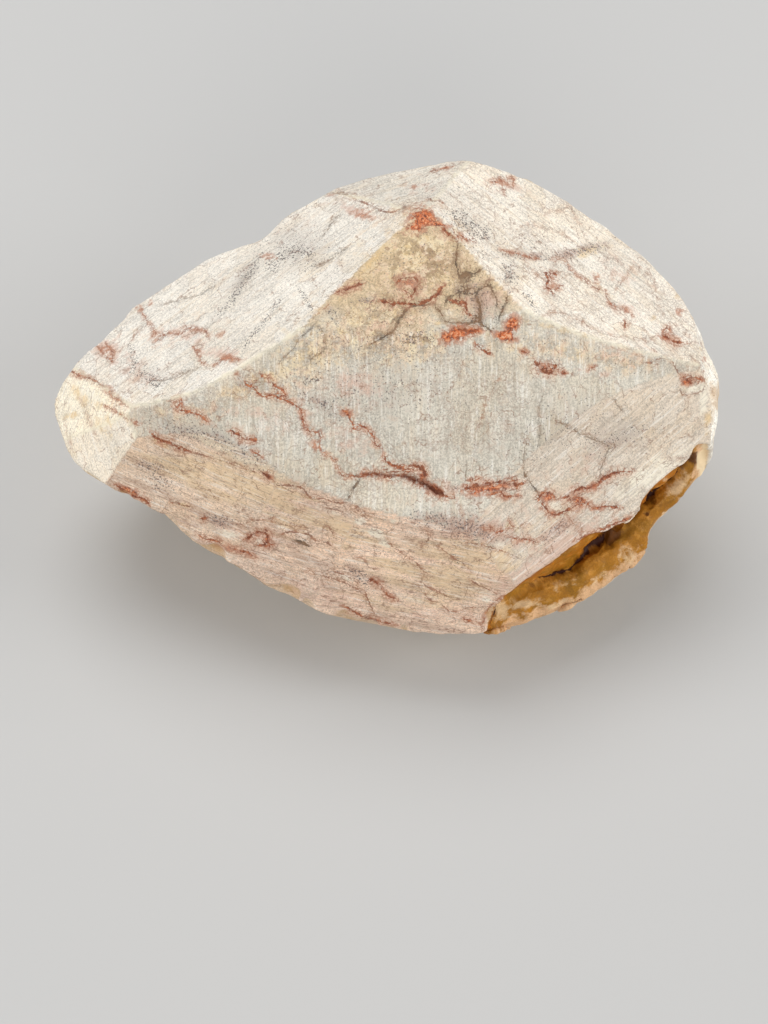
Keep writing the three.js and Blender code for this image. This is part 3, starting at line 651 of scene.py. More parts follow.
# In and beside the crevice: milky crystals, the cream edge of the rind, and hollows, which are carved
# into the relief and painted dark as their shade.
MILKY = [
    (524, 607, 20, 7, -12, 1.0), (504, 612, 6, 11, 10, 1.0), (566, 587, 13, 9, -20, 0.45),
    (603, 578, 13, 8, -35, 0.55), (560, 606, 22, 4, -20, 0.7), (628, 556, 10, 8, -40, 0.8),
    (678, 487, 16, 7, -38, 1.0), (664, 478, 8, 5, -30, 0.5), (690, 500, 12, 6, -40, 0.8),
]
CREAM_RIM = [
    (708, 458, 7, 24, 12, 1.0), (700, 488, 10, 8, -50, 1.0), (684, 504, 14, 6, -40, 0.9),
    (704, 440, 8, 6, 0, 1.0), (668, 516, 12, 5, -40, 0.6),
]
HOLLOWS = [
    (614, 536, 12, 7, -38, 1.0), (594, 549, 6, 3, -30, 0.6), (697, 460, 11, 7, -28, 1.0),
    (654, 500, 6, 9, 20, 0.7), (682, 470, 8, 4, -30, 0.6), (648, 514, 6, 4, 0, 0.7),
    (530, 588, 22, 3, -20, 0.5), (488, 622, 3, 10, 15, 0.5),
]


def vein_field(places, veins):
    """Signed distance, distance and half width of the nearest vein, in millimetres."""
    distance = np.full(len(places), 99.0)
    signed = np.full(len(places), 99.0)
    width = np.full(len(places), 0.2)
    for half_width, line in veins:
        d, s, share = polyline_distance(places, line)
        taper = np.clip(np.minimum(share, 1 - share) * 12, 0.35, 1)
        closer = d * PIXEL_MM < distance
        distance = np.where(closer, d * PIXEL_MM, distance)
        signed = np.where(closer, s * PIXEL_MM, signed)
        width = np.where(closer, half_width * taper, width)
    return np.stack([np.clip(signed, -20, 20), np.minimum(distance, 20), width], 1)


def stain_field(places, stains):
    """Strength of the strongest stain at each place."""
    total = np.zeros(len(places))
    for x, y, long, high, turn, strength in stains:
        angle = math.radians(turn)
        dx, dy = places[:, 0] - x, places[:, 1] - y
        u = (dx * math.cos(angle) + dy * math.sin(angle)) / long
        v = (-dx * math.sin(angle) + dy * math.cos(angle)) / high
        total = np.maximum(total, strength * np.exp(-0.8 * (u * u + v * v)))
    return total


# ---------------------------------------------------------------- the stone's zones
# Which way the grinding scratches run on each ground face, in the picture, in degrees.
SCRATCHES = [90, 37, 20, -42, 60, -64, -14, -17, -15, -12, 36]
# Colour of each ground face, 0 to 255, with painted light: faces that look up and to the sides are
# lighter.
FACE_TINTS_AND_LIGHT = [
    (208, 201, 186), (240, 232, 219), (234, 225, 210), (243, 233, 217), (250, 239, 216),
    (240, 229, 211), (220, 203, 179), (230, 204, 179), (231, 203, 180), (239, 209, 184),
    (216, 202, 184),
]
UPPER_FACES = 6  # the main face and the faces above it come first
PATCH_TINT = (216, 192, 156)
RIND_TINT = (222, 206, 178)
EDGE_TINT = (214, 188, 160)
# The right end's rind: cream, brightened with painted light from the right.
BAND_TINT_AND_LIGHT = (254, 250, 238)
# The open seam: the vein's red-brown and painted shade in the crack.
SEAM_VEIN_AND_SHADE = (104, 44, 22)
BASE_TINT = (206, 190, 168)
# Colours in the crevice; the two darkest are painted shade in its hollows and along its crack.
WALL = (172, 104, 18)
BED = (170, 114, 34)
OLIVE = (144, 100, 26)
PALE_BED = (220, 160, 78)
LIP = (214, 172, 130)
MILK = (222, 190, 148)
CREAM_EDGE = (238, 216, 178)
HOLLOW_SHADE = (88, 46, 6)
CRACK_SHADE = (52, 16, 2)
BRINK = (124, 64, 18)


def linear(colour):
    c = np.array(colour, float) / 255
    return np.where(c <= 0.04045, c / 12.92, ((c + 0.055) / 1.055) ** 2.4)


def zones(points, normals, hollow):
    """Masks and distances that the relief, the tints and the material share."""
    stand = heights(points)
    face = stand.argmax(1)
    seam = (polyline_distance(points[:, :2], SEAM)[0] < 2) & (points[:, 2] > 0)
    ground = (stand.max(1) > -0.12) | seam
    row = faces_to_row(points)
    base = row[:, 2] < 0.00008
    along_edge = polyline_distance(points[:, :2], CREVICE_EDGE)
    out = along_edge[1]
    lip = polyline_distance(points[:, :2], beside_edge(LIP_OUT))[1]
    brink = (abs(lip) < 1.5) & (out > -1.5) & (normals[:, 2] > 0.15) & (points[:, 2] > -8)
    brink &= (points[:, 0] > 17) & (points[:, 1] < -4)
    crevice = ~ground & ~base & (hollow | brink)
    patch = ~ground & ~base & (points[:, 1] > 6) & (points[:, 2] > 16) & (abs(points[:, 0] - 6) < 38)
    patch &= stand.max(1) > -6
    return {
        "stand": stand, "face": face, "ground": ground, "base": base,
        "crevice": crevice, "crevice_out": out, "lip": lip, "patch": patch,
        "crack": polyline_distance(points[:, :2], beside_edge(CRACK_OUT))[1],
        "rind": ~ground & ~base & ~crevice & ~patch,
    }


def beside_edge(reach):
    """The line that runs beside the crevice's edge at the given distances."""
    return [(x + OUTWARD[0] * r, y + OUTWARD[1] * r) for (x, y), r in zip(CREVICE_EDGE, reach)]


def ridge_distance(points, zone):
    """Distance over the surface from each ground point to the nearest ridge, in millimetres."""
    slope = np.gradient(MAIN_CURVE[:, 1], MAIN_CURVE[:, 0])
    slope = np.interp(points[:, 0], MAIN_CURVE[:, 0], slope)
    main = np.stack([-slope, np.zeros_like(slope), np.ones_like(slope)], 1)
    main /= np.linalg.norm(main, axis=1)[:, None]
    normals = [main]
    for _, tilt, heading in GROUND_FACES.values():
        normals.append(np.broadcast_to(facing(tilt, heading), points.shape))
    normals = np.stack(normals, 1)
    own = normals[np.arange(len(points)), zone["face"]]
    cosine = np.einsum("nij,nj->ni", normals, own)
    sine = np.sqrt(np.clip(1 - cosine**2, 0, 1))
    reach = np.where(sine > 0.2, -zone["stand"] / np.maximum(sine, 0.2), 99)
    reach[np.arange(len(points)), zone["face"]] = 99
    reach = np.clip(np.where(zone["ground"][:, None], reach, 99), 0, 99)
    upper = np.where(zone["face"] < UPPER_FACES, reach[:, :UPPER_FACES].min(1), 99)
    return reach.min(1), upper, own


def grain_places(points, zone, own):
    """Across and along the grinding scratches, in millimetres, and a number for the face."""
    turn = np.radians(np.array(SCRATCHES, float))[zone["face"]]
    way = np.stack([np.cos(turn), np.sin(turn), np.zeros_like(turn)], 1)
    way -= own * np.einsum("ni,ni->n", way, own)[:, None]
    way /= np.linalg.norm(way, axis=1)[:, None]
    side = np.cross(own, way)
    across = np.einsum("ni,ni->n", points, side)
    along = np.einsum("ni,ni->n", points, way)
    return np.stack([across, along, zone["face"] * 17.0], 1)


def tints(points, zone):
    """Colour of each point, before the material adds its layers, with painted light and shade in it."""
    # Each ground face's tint, with painted light: lighter where the face looks up and to the sides.
    colours = linear(FACE_TINTS_AND_LIGHT)[zone["face"]]
    colours[zone["rind"]] = linear(RIND_TINT)
    # Ground points that dip below their face, as in the open seam, darken with depth: the vein's
    # red-brown and painted shade.
    seam = smoothstep(-0.15, -0.5, zone["stand"].max(1)) * zone["ground"]
    colours += seam[:, None] * (linear(SEAM_VEIN_AND_SHADE) - colours)
    low = smoothstep(-12, -26, points[:, 1]) * smoothstep(-8, 6, points[:, 2])
    # The rind at the right end is brightened: its own cream plus painted light from the right.
    lit_band = smoothstep(30, 55, points[:, 0]) * smoothstep(-6, 3, points[:, 2])
    lit_band *= smoothstep(-26, -12, points[:, 1])
    rind = linear(RIND_TINT) + low[:, None] * (linear(EDGE_TINT) - linear(RIND_TINT))
    rind = rind + lit_band[:, None] * (linear(BAND_TINT_AND_LIGHT) - rind)
    colours[zone["rind"]] = rind[zone["rind"]]
    wave = np.array([noise.noise(Vector(p) / 6) for p in points])
    skin = smoothstep(10, 19, points[:, 1] + 5 * wave)[:, None]
    patch = linear(FACE_TINTS_AND_LIGHT[0]) + skin * (linear(PATCH_TINT) - linear(FACE_TINTS_AND_LIGHT[0]))
    colours[zone["patch"]] = patch[zone["patch"]]
    colours[zone["base"]] = linear(BASE_TINT)
    colours[zone["crevice"]] = linear(BED)
    return colours


# ---------------------------------------------------------------- relief
PATCH_GROOVE = 0.22  # millimetres, along the cracks of the natural patch
VEIN_GROOVE = 0.07


def grooves(red, dark, zone, visible):
    """Depth of the shallow grooves along the cracks and veins, in millimetres."""
    deep = PATCH_GROOVE * np.exp(-((dark[:, 1] / 0.4) ** 2)) * zone["patch"]
    shallow = np.exp(-((np.minimum(red[:, 1], dark[:, 1]) / 0.35) ** 2))
    return (deep + VEIN_GROOVE * shallow) * visible * ~zone["crevice"] * ~zone["base"]


def relief(points, zone):
    """How far each point moves along its normal, in millimetres."""
    move = np.zeros(len(points))
    hollows = stain_field(picture_places(points), HOLLOWS)
    for i in np.nonzero(~zone["base"])[0]:
        p = Vector(points[i])
        if zone["ground"][i]:
            move[i] = 0.28 * noise.noise(p / 11) + 0.08 * noise.noise(p / 3.5) - 0.12
        elif zone["crevice"][i]:
            nearest = noise.voronoi(p / 4.2)[0][0]
            knob = max(0.0, 1 - (nearest / 0.65) ** 2)
            crack = math.exp(-((zone["crack"][i] / 0.4) ** 2))
            broad = noise.noise(p / 7 + Vector((3, 8, 5)))
            grit = noise.fractal(p / 2.4, 0.7, 2.2, 3)
            move[i] = 0.6 * knob + 0.8 * broad + 0.3 * grit - 0.6
            move[i] -= 0.9 * crack + 1.0 * hollows[i]
        elif zone["patch"][i]:
            move[i] = 0.16 * noise.noise(p / 2.6) + 0.08 * noise.noise(p / 1.0) - 0.08
        else:
            move[i] = rough_skin(p)
    return move


def rough_skin(p):
    """Relief of the natural rind: swells, broken scars with sharp rims, pits and grit."""
    swell = noise.noise(p / 14)
    rough = noise.fractal(p / 5.5, 0.8, 2.1, 5)
    bent = p / 8 + 0.4 * noise.noise_vector(p / 6)
    scar = min(1.0, noise.voronoi(bent)[0][0] / 0.7) ** 2 - 1
    broken = smoothstep(-0.05, 0.25, noise.noise(p / 17 + Vector((2, 7, 3))))
    pits = max(0.0, noise.noise(p / 2.2 + Vector((9, 4, 1))) - 0.2)
    return 0.5 * swell + 0.45 * rough + 0.8 * broken * scar - 0.9 * pits - 0.25


def dress(mesh, hollow):
    """Shapes the dense mesh and writes the attributes that the material reads."""
    points = get_points(mesh)
    zone = zones(points, get_normals(mesh), hollow)
    ridge, upper_ridge, own = ridge_distance(points, zone)
    edges = get_edges(mesh)
    natural = (zone["rind"] | zone["patch"]).astype(float)
    natural = neighbour_mean(natural, edges)
    inner = zone["crevice"].astype(float)
    smoothed = smooth(points, edges, 0.6 * natural, 12)
    smoothed = smooth(smoothed, edges, 0.4 * inner, 6)
    near_ridge = np.exp(-((ridge / 0.7) ** 2))
    smoothed = smooth(smoothed, edges, 0.5 * np.maximum(near_ridge, 0.25 * natural), 4)
    smoothed = smooth(smoothed, edges, np.where(zone["base"], 0.0, 0.25), 1)
    set_points(mesh, smoothed)
    normals = get_normals(mesh)
    places = picture_places(points)
    visible = smoothstep(-0.05, 0.2, normals[:, 2]) * smoothstep(-14, -4, points[:, 2])
    red, dark = vein_field(places, RED_VEINS), vein_field(places, DARK_CRACKS)
    move = relief(smoothed, zone)
    move = neighbour_mean(neighbour_mean(move, edges), edges) * 0.5 + move * 0.5
    move -= grooves(red, dark, zone, visible)
    shaped = smoothed + normals * np.where(zone["base"], 0, move)[:, None]
    set_points(mesh, shaped)

    lower = zone["ground"] & (zone["face"] >= UPPER_FACES)
    fields = {
        "mm": smoothed,
        "grain": grain_places(points, zone, own),
        "red": red,
        "brown": vein_field(places, BROWN_VEINS),
        "dark": dark,
        "specks": vein_field(places, SPECKLE_ROWS),
        "stains": np.stack([
            stain_field(places, RUST) * visible,
            stain_field(places, HONEY) * visible,
            stain_field(places, GREY) * visible,
        ], 1),
        "tones": np.stack([
            stain_field(places, TAN) * visible * lower,
            stain_field(places, OCHRE) * visible,
            stain_field(places, BLUSH) * visible,
        ], 1),
        "zones": np.stack([
            zone["ground"] | zone["base"], zone["crevice"], zone["patch"]], 1).astype(float),
        "traits": np.stack([
            visible, np.minimum(upper_ridge, 20), np.isin(zone["face"], [0, 2, 3])], 1),
        "course": np.stack([zone["crevice_out"], zone["lip"], zone["crack"]], 1),
        "pockets": np.stack([
            stain_field(places, MILKY), stain_field(places, HOLLOWS),
            stain_field(places, CREAM_RIM)], 1),
        "flow": np.stack([
            np.isin(zone["face"], [6, 7, 8, 9]) & zone["ground"],
            stain_field(places, CREAM) * visible,
            zone["rind"]], 1).astype(float),
    }
    for name, values in fields.items():
        layer = mesh.attributes.new(name, "FLOAT_VECTOR", "POINT")
        layer.data.foreach_set("vector", values.astype(np.float32).ravel())
    colours = np.concatenate([tints(points, zone), np.ones((len(points), 1))], 1)
    layer = mesh.attributes.new("tint", "FLOAT_COLOR", "POINT")
    layer.data.foreach_set("color", colours.astype(np.float32).ravel())
    low, high = np.array(CAD_BOX)
    inset = np.array([BOX_INSET, BOX_INSET, 0])
    set_points(mesh, np.clip(faces_to_row(shaped), low + inset, high - inset))


# ---------------------------------------------------------------- the material
class Tree:
    """Small helpers for building a node tree."""

    def __init__(self, material):
        material.use_nodes = True
        self.nodes = material.node_tree.nodes
        self.links = material.node_tree.links
        self.shader = self.nodes["Principled BSDF"]

    def new(self, kind, **settings):
        node = self.nodes.new(kind)
        for name, value in settings.items():
            setattr(node, name, value)
        return node

    def feed(self, socket, value):
        if isinstance(value, bpy.types.NodeSocket):
            self.links.new(value, socket)
        else:
            socket.default_value = value

    def attribute(self, name):
        node = self.new("ShaderNodeAttribute", attribute_name=name)
        return node.outputs["Color"] if name == "tint" else node.outputs["Vector"]

    def parts(self, vector):
        node = self.new("ShaderNodeSeparateXYZ")
        self.feed(node.inputs[0], vector)
        return node.outputs[0], node.outputs[1], node.outputs[2]

    def stretch(self, vector, x, y, z):
        node = self.new("ShaderNodeVectorMath", operation="MULTIPLY")
        self.feed(node.inputs[0], vector)
        node.inputs[1].default_value = (x, y, z)
        return node.outputs[0]

    def shift(self, vector, offset):
        node = self.new("ShaderNodeVectorMath", operation="ADD")
        self.feed(node.inputs[0], vector)
        self.feed(node.inputs[1], offset)
        return node.outputs[0]

    def scale(self, vector, factor):
        node = self.new("ShaderNodeVectorMath", operation="SCALE")
        self.feed(node.inputs[0], vector)
        self.feed(node.inputs["Scale"], factor)
        return node.outputs[0]

    def math(self, operation, a, b=0.0):
        node = self.new("ShaderNodeMath", operation=operation)
        self.feed(node.inputs[0], a)
        self.feed(node.inputs[1], b)
        return node.outputs[0]

    def times(self, *values):
        product = values[0]
        for value in values[1:]:
            product = self.math("MULTIPLY", product, value)
        return product

    def plus(self, *values):
        total = values[0]
        for value in values[1:]:
            total = self.math("ADD", total, value)
        return total

    def most(self, *values):
        largest = values[0]
        for value in values[1:]:
            largest = self.math("MAXIMUM", largest, value)
        return largest

    def ramp(self, value, low, high, start=0.0, end=1.0):
        node = self.new("ShaderNodeMapRange", interpolation_type="SMOOTHSTEP")
        self.feed(node.inputs["Value"], value)
        for name, v in zip(("From Min", "From Max", "To Min", "To Max"), (low, high, start, end)):
            self.feed(node.inputs[name], v)
        return node.outputs["Result"]

    def noise(self, vector, scale, detail=3.0, roughness=0.55, seed=0.0, colour=False):
        node = self.new("ShaderNodeTexNoise")
        self.feed(node.inputs["Vector"], self.shift(vector, (17.3 * seed, 5.1 * seed, 31.7 * seed)))
        node.inputs["Scale"].default_value = scale
        node.inputs["Detail"].default_value = detail
        node.inputs["Roughness"].default_value = roughness
        return node.outputs["Color" if colour else "Fac"]

    def bend(self, vector, scale, reach, seed):
        """The places of vector, each pushed aside by up to about half of reach."""
        push = self.shift(self.noise(vector, scale, 3, 0.6, seed, colour=True), (-0.5, -0.5, -0.5))
        return self.shift(vector, self.scale(push, reach))

    def cells(self, vector, scale, output="Distance", feature="DISTANCE_TO_EDGE"):
        node = self.new("ShaderNodeTexVoronoi", feature=feature)
        self.feed(node.inputs["Vector"], vector)
        node.inputs["Scale"].default_value = scale
        return node.outputs[output]

    def lines(self, vector, scale, half_width):
        """Lines between irregular cells: 1 on a line of that half width in millimetres."""
        edge = self.cells(vector, scale)
        return self.ramp(edge, half_width * scale * 1.5, half_width * scale * 0.5)

    def blend(self, share, a, b, mode="MIX"):
        node = self.new("ShaderNodeMix", data_type="RGBA", blend_type=mode)
        self.feed(node.inputs[0], share)
        for socket, value in ((node.inputs[6], a), (node.inputs[7], b)):
            self.feed(socket, value if isinstance(value, bpy.types.NodeSocket) else shade(value))
        return node.outputs[2]


def shade(colour):
    return (*[float(c) for c in linear(colour)], 1.0)


def share_sources(t):
    """The attributes and noises that several layers of the stone read."""
    t.mm = t.attribute("mm")
    t.grain = t.attribute("grain")
    t.ground, t.crevice, t.patch = t.parts(t.attribute("zones"))
    t.visible, t.ridge, t.netted = t.parts(t.attribute("traits"))
    t.tan, t.ochre, t.blush = t.parts(t.attribute("tones"))
    t.flow, t.cream, t.rind = t.parts(t.attribute("flow"))
    t.rust, t.honey, t.grey = t.parts(t.attribute("stains"))
    t.middle = t.noise(t.mm, 0.42, 5, 0.66, 1)
    t.fine = t.noise(t.mm, 2.6, 2, 0.6, 2)
    t.scratch = t.noise(t.stretch(t.grain, 1.5, 0.085, 1), 1.0, 4, 0.68, 3)
    t.ribbons = t.noise(t.bend(t.stretch(t.grain, 0.42, 0.075, 1), 0.9, 0.9, 4), 1.0, 4, 0.6, 5)
    t.folded = t.bend(t.bend(t.mm, 0.16, 9.0, 6), 1.1, 0.9, 7)
    t.drift = t.plus(t.noise(t.mm, 0.8, 4, 0.65, 20), -0.5)
    t.shake = t.plus(t.noise(t.mm, 2.2, 2, 0.6, 25), -0.5)
    t.swell = t.ramp(t.noise(t.mm, 0.6, 3, 0.6, 21), 0.35, 0.65, 0.25, 1.5)
    t.gate = t.ramp(t.noise(t.mm, 0.38, 3, 0.6, 22), 0.33, 0.44)
    t.net = t.lines(t.bend(t.mm, 1.1, 1.4, 23), 0.9, 0.085)
    t.net = t.times(t.net, t.ramp(t.noise(t.mm, 0.7, 3, 0.6, 24), 0.38, 0.5))


def plain_stone(t):
    """Body colour: clouds, mottling, pepper and fragments of slightly different tone."""
    clouds = t.ramp(t.noise(t.mm, 0.085, 4, 0.55, 8), 0.35, 0.65, -0.06, 0.06)
    mottle = t.ramp(t.middle, 0.34, 0.66, -0.08, 0.08)
    pepper = t.ramp(t.fine, 0.36, 0.64, -0.19, 0.17)
    colour = t.scale(t.attribute("tint"), t.plus(clouds, mottle, pepper, 1.0))
    fragment = t.cells(t.folded, 0.13, "Color", "F1")
    tone, warmth, _ = t.parts(fragment)
    small_tone, _, _ = t.parts(t.cells(t.folded, 0.36, "Color", "F1"))
    contrast = t.plus(t.times(t.honey, 0.26), t.times(t.flow, 0.1), 0.03)
    shading = t.plus(t.times(t.plus(small_tone, -0.5), contrast), t.times(tone, 0.07), 0.965)
    colour = t.scale(colour, shading)
    warm = t.ramp(warmth, 0.55, 0.9, 0.0, 0.25)
    return t.blend(warm, colour, t.blend(1.0, colour, (250, 236, 214), "MULTIPLY"))


def add_areas(t, colour):
    """Honey, tan, mauve, grey and cream areas."""
    patchy = t.ramp(t.noise(t.mm, 0.3, 5, 0.65, 10), 0.42, 0.58)
    grainy = t.ramp(t.noise(t.mm, 1.0, 4, 0.7, 11), 0.4, 0.6)
    small_tone, small_warmth, _ = t.parts(t.cells(t.folded, 0.36, "Color", "F1"))
    honey_colour = t.blend(t.ramp(small_warmth, 0.3, 0.7), (216, 180, 148), (226, 198, 148))
    honey_colour = t.blend(t.times(grainy, 0.6), honey_colour, (244, 226, 192))
    murky = t.times(t.ramp(t.plus(t.middle, t.times(small_tone, 0.16)), 0.6, 0.46), 0.85)
    honey_colour = t.blend(murky, honey_colour, (160, 132, 96))
    honey_colour = t.blend(t.times(patchy, t.ramp(small_tone, 0.5, 0.9), 0.6), honey_colour,
                           (240, 228, 198))
    honey_share = t.plus(t.honey, t.ramp(t.middle, 0.3, 0.7, -0.4, 0.4))
    colour = t.blend(t.ramp(honey_share, 0.1, 1.0, 0, 0.9), colour, honey_colour)
    blush_share = t.plus(t.blush, t.ramp(t.middle, 0.3, 0.7, -0.35, 0.35))
    colour = t.blend(t.ramp(blush_share, 0.2, 0.9, 0, 0.6), colour, (215, 176, 157))
    ochre_share = t.plus(t.ochre, t.ramp(t.middle, 0.3, 0.7, 0.3, -0.3))
    colour = t.blend(t.ramp(ochre_share, 0.25, 0.9, 0, 0.75), colour, (230, 198, 146))
    mauve = t.times(t.flow, t.ramp(t.ribbons, 0.52, 0.62, 0, 0.5))
    colour = t.blend(mauve, colour, (184, 158, 148))
    tan_share = t.plus(t.tan, t.ramp(t.ribbons, 0.35, 0.65, -0.3, 0.4))
    colour = t.blend(t.ramp(tan_share, 0.2, 0.85, 0, 0.75), colour, (232, 203, 162))
    streaky = t.times(t.ramp(t.ribbons, 0.38, 0.62, -0.35, 0.35), t.flow)
    grainy_grey = t.ramp(t.fine, 0.36, 0.64, -0.34, 0.34)
    grey_share = t.plus(t.grey, t.ramp(t.middle, 0.3, 0.7, -0.3, 0.3), streaky, grainy_grey)
    murky_grey = t.blend(t.most(t.flow, t.ramp(t.blush, 0.1, 0.5)), (156, 142, 136), (158, 126, 110))
    colour = t.blend(t.ramp(grey_share, 0.26, 0.95, 0, 0.62), colour, murky_grey)
    cream_share = t.plus(t.cream, t.ramp(t.middle, 0.3, 0.7, -0.25, 0.25))
    return t.blend(t.ramp(cream_share, 0.3, 0.7, 0, 0.75), colour, (244, 236, 216))


def add_scratches(t, colour):
    """Grinding scratches: bright and dull lines along the grain of each ground face."""
    thin = t.noise(t.stretch(t.grain, 2.6, 0.22, 1), 1.0, 2, 0.6, 12)
    bright = t.most(t.ramp(t.scratch, 0.53, 0.68), t.ramp(thin, 0.58, 0.72))
    dull = t.most(t.ramp(t.scratch, 0.47, 0.33), t.ramp(thin, 0.42, 0.3))
    colour = t.blend(t.times(bright, t.ground, 0.48), colour, (248, 244, 235))
    return t.blend(t.times(dull, t.ground, 0.36), colour, (156, 145, 130))


def add_specks(t, colour):
    """Dark specks, thick in the grey areas and along their rows."""
    _, row_distance, row_width = t.parts(t.attribute("specks"))
    in_row = t.times(t.ramp(row_distance, row_width, t.times(row_width, 0.2)), t.visible)
    crowd = t.plus(t.most(t.times(in_row, 0.75), t.times(t.grey, 0.85)), t.times(t.honey, 0.3), 0.12)
    speck = t.noise(t.mm, 2.6, 2, 0.55, 14)
    limit = t.math("SUBTRACT", 0.68, t.times(crowd, 0.17))
    speck = t.ramp(t.math("SUBTRACT", speck, limit), 0.0, 0.05)
    return t.blend(t.times(speck, t.ramp(crowd, 0.02, 0.3, 0.4, 0.9)), colour, (98, 91, 89))


def add_hairlines(t, colour):
    """Hairlines between the fragments, and flowing lines on the lower faces."""
    lean = t.plus(t.times(t.netted, 0.07), t.times(t.blush, 0.1), t.times(t.flow, 0.05))
    broad_gate = t.ramp(t.plus(t.noise(t.mm, 0.1, 3, 0.5, 16), lean), 0.52, 0.64)
    close_gate = t.ramp(t.plus(t.noise(t.mm, 0.14, 3, 0.5, 17), lean), 0.54, 0.66)
    wide = t.times(t.lines(t.folded, 0.13, 0.1), t.ramp(t.middle, 0.44, 0.56), 0.6)
    close = t.times(t.lines(t.folded, 0.36, 0.09), close_gate, t.ramp(t.middle, 0.42, 0.56), 0.56)
    tiny = t.times(t.lines(t.folded, 0.8, 0.08), broad_gate, t.plus(t.times(t.netted, 0.16), 0.16))
    hair = t.times(t.most(wide, close, tiny), t.ramp(t.crevice, 0, 1, 1, 0))
    colour = t.blend(hair, colour, (136, 98, 76))
    bands = t.math("FRACT", t.times(t.ribbons, 11.0))
    bands = t.ramp(t.math("ABSOLUTE", t.math("SUBTRACT", bands, 0.5)), 0.12, 0.02)
    bands = t.times(bands, t.ramp(t.middle, 0.4, 0.54), t.flow, 0.6)
    return t.blend(bands, colour, (132, 94, 76))


def traced(t, field, girth, wander, strands, kept):
    """A traced vein: its wandering core, the frayed strands around it and how near it is.

    girth scales its width, and kept is how much of the core is left where the vein fades out."""
    signed, distance, width = t.parts(t.attribute(field))
    line = t.plus(signed, t.times(t.drift, wander), t.times(t.shake, 0.9))
    line = t.math("ABSOLUTE", line)
    half = t.times(width, t.swell, girth)
    core = t.ramp(line, t.times(half, 1.2), t.times(half, 0.55))
    core = t.times(core, t.ramp(distance, 1.8, 1.0), t.ramp(width, 0.08, 0.24, 0.55, 1.0))
    core = t.times(core, t.most(t.gate, kept))
    t.border = t.ramp(t.math("ABSOLUTE", t.math("SUBTRACT", line, half)), 0.16, 0.04)
    t.border = t.times(t.border, t.ramp(width, 0.12, 0.3))
    t.heart = t.times(t.ramp(line, half, t.times(half, 0.2)), t.ramp(width, 0.2, 0.5))
    beside = t.math("ABSOLUTE", t.plus(line, t.times(width, -2.4)))
    twin = t.times(t.ramp(beside, 0.13, 0.04), t.ramp(t.middle, 0.5, 0.6), strands)
    reach = t.plus(t.times(width, 4.4), 0.5)
    near = t.times(t.ramp(distance, reach, t.times(reach, 0.2)), strands)
    frayed = t.most(t.times(t.net, near), twin)
    return t.times(core, t.visible), t.times(frayed, t.visible), t.times(near, t.visible)


def add_veins(t, colour):
    """Traced veins and cracks, and rust."""
    brown, strands, halo = traced(t, "brown", 0.75, 0.7, 0.5, 0.5)
    colour = t.blend(t.times(halo, t.ramp(t.middle, 0.42, 0.6, 0, 0.3)), colour, (204, 170, 140))
    brown_colour = t.blend(t.ramp(t.middle, 0.42, 0.58), (118, 70, 46), (158, 102, 70))
    colour = t.blend(t.times(t.most(brown, strands), 0.82), colour, brown_colour)
    crinkle = t.times(t.lines(t.bend(t.mm, 1.4, 1.2, 26), 0.8, 0.1), t.honey, 0.6)
    crinkle_colour = t.blend(t.ramp(t.middle, 0.46, 0.54), (146, 116, 80), (240, 224, 190))
    colour = t.blend(t.times(crinkle, t.ramp(t.fine, 0.36, 0.5)), colour, crinkle_colour)
    t.dark, strands, halo = traced(t, "dark", 1.0, 0.7, 0.5, 0.75)
    murk = t.times(halo, t.ramp(t.middle, 0.4, 0.58), t.patch, 0.9)
    colour = t.blend(murk, colour, (150, 124, 96))
    crack_colour = t.blend(t.ramp(t.middle, 0.4, 0.56), (82, 66, 52), (126, 92, 60))
    colour = t.blend(t.times(t.most(t.dark, strands), 0.86), colour, crack_colour)
    red, strands, halo = traced(t, "red", 1.0, 1.1, 1.0, 0.35)
    colour = t.blend(t.times(halo, t.ramp(t.middle, 0.4, 0.6, 0, 0.55)), colour, (212, 170, 142))
    colour = t.blend(t.times(strands, 0.7), colour, (142, 78, 46))
    lumpy = t.noise(t.mm, 0.8, 5, 0.62, 50)
    rust_share = t.plus(t.rust, t.ramp(lumpy, 0.35, 0.65, -0.4, 0.4))
    flush = t.times(t.ramp(rust_share, 0.1, 0.5), t.ramp(t.rust, 0.1, 0.4), 0.5)
    colour = t.blend(flush, colour, (212, 164, 138))
    rim = t.ramp(t.math("ABSOLUTE", t.plus(rust_share, -0.6)), 0.09, 0.03)
    rust_share = t.times(t.ramp(rust_share, 0.42, 0.58), t.ramp(t.rust, 0.35, 0.85, 0.35, 0.95))
    t.red = t.most(t.times(red, 0.95), rust_share)
    tone = t.noise(t.mm, 1.6, 4, 0.65, 52)
    vein_colour = t.blend(t.ramp(tone, 0.46, 0.6), (146, 72, 36), (194, 122, 80))
    orange = t.blend(t.ramp(tone, 0.4, 0.52), (146, 60, 24), (206, 104, 46))
    orange = t.blend(t.ramp(tone, 0.54, 0.62, 0.0, 0.7), orange, (232, 190, 150))
    rust_colour = t.blend(t.ramp(t.rust, 0.5, 0.9), vein_colour, orange)
    shadow = t.most(t.times(t.border, 0.7), t.times(rim, 0.7), t.ramp(tone, 0.47, 0.39), t.heart)
    rust_colour = t.blend(t.times(shadow, 0.88), rust_colour, (94, 42, 18))
    pale = t.times(t.ramp(t.fine, 0.54, 0.64), t.ramp(t.heart, 0.5, 0.0), 0.3)
    rust_colour = t.blend(pale, rust_colour, (226, 176, 150))
    return t.blend(t.red, colour, rust_colour)


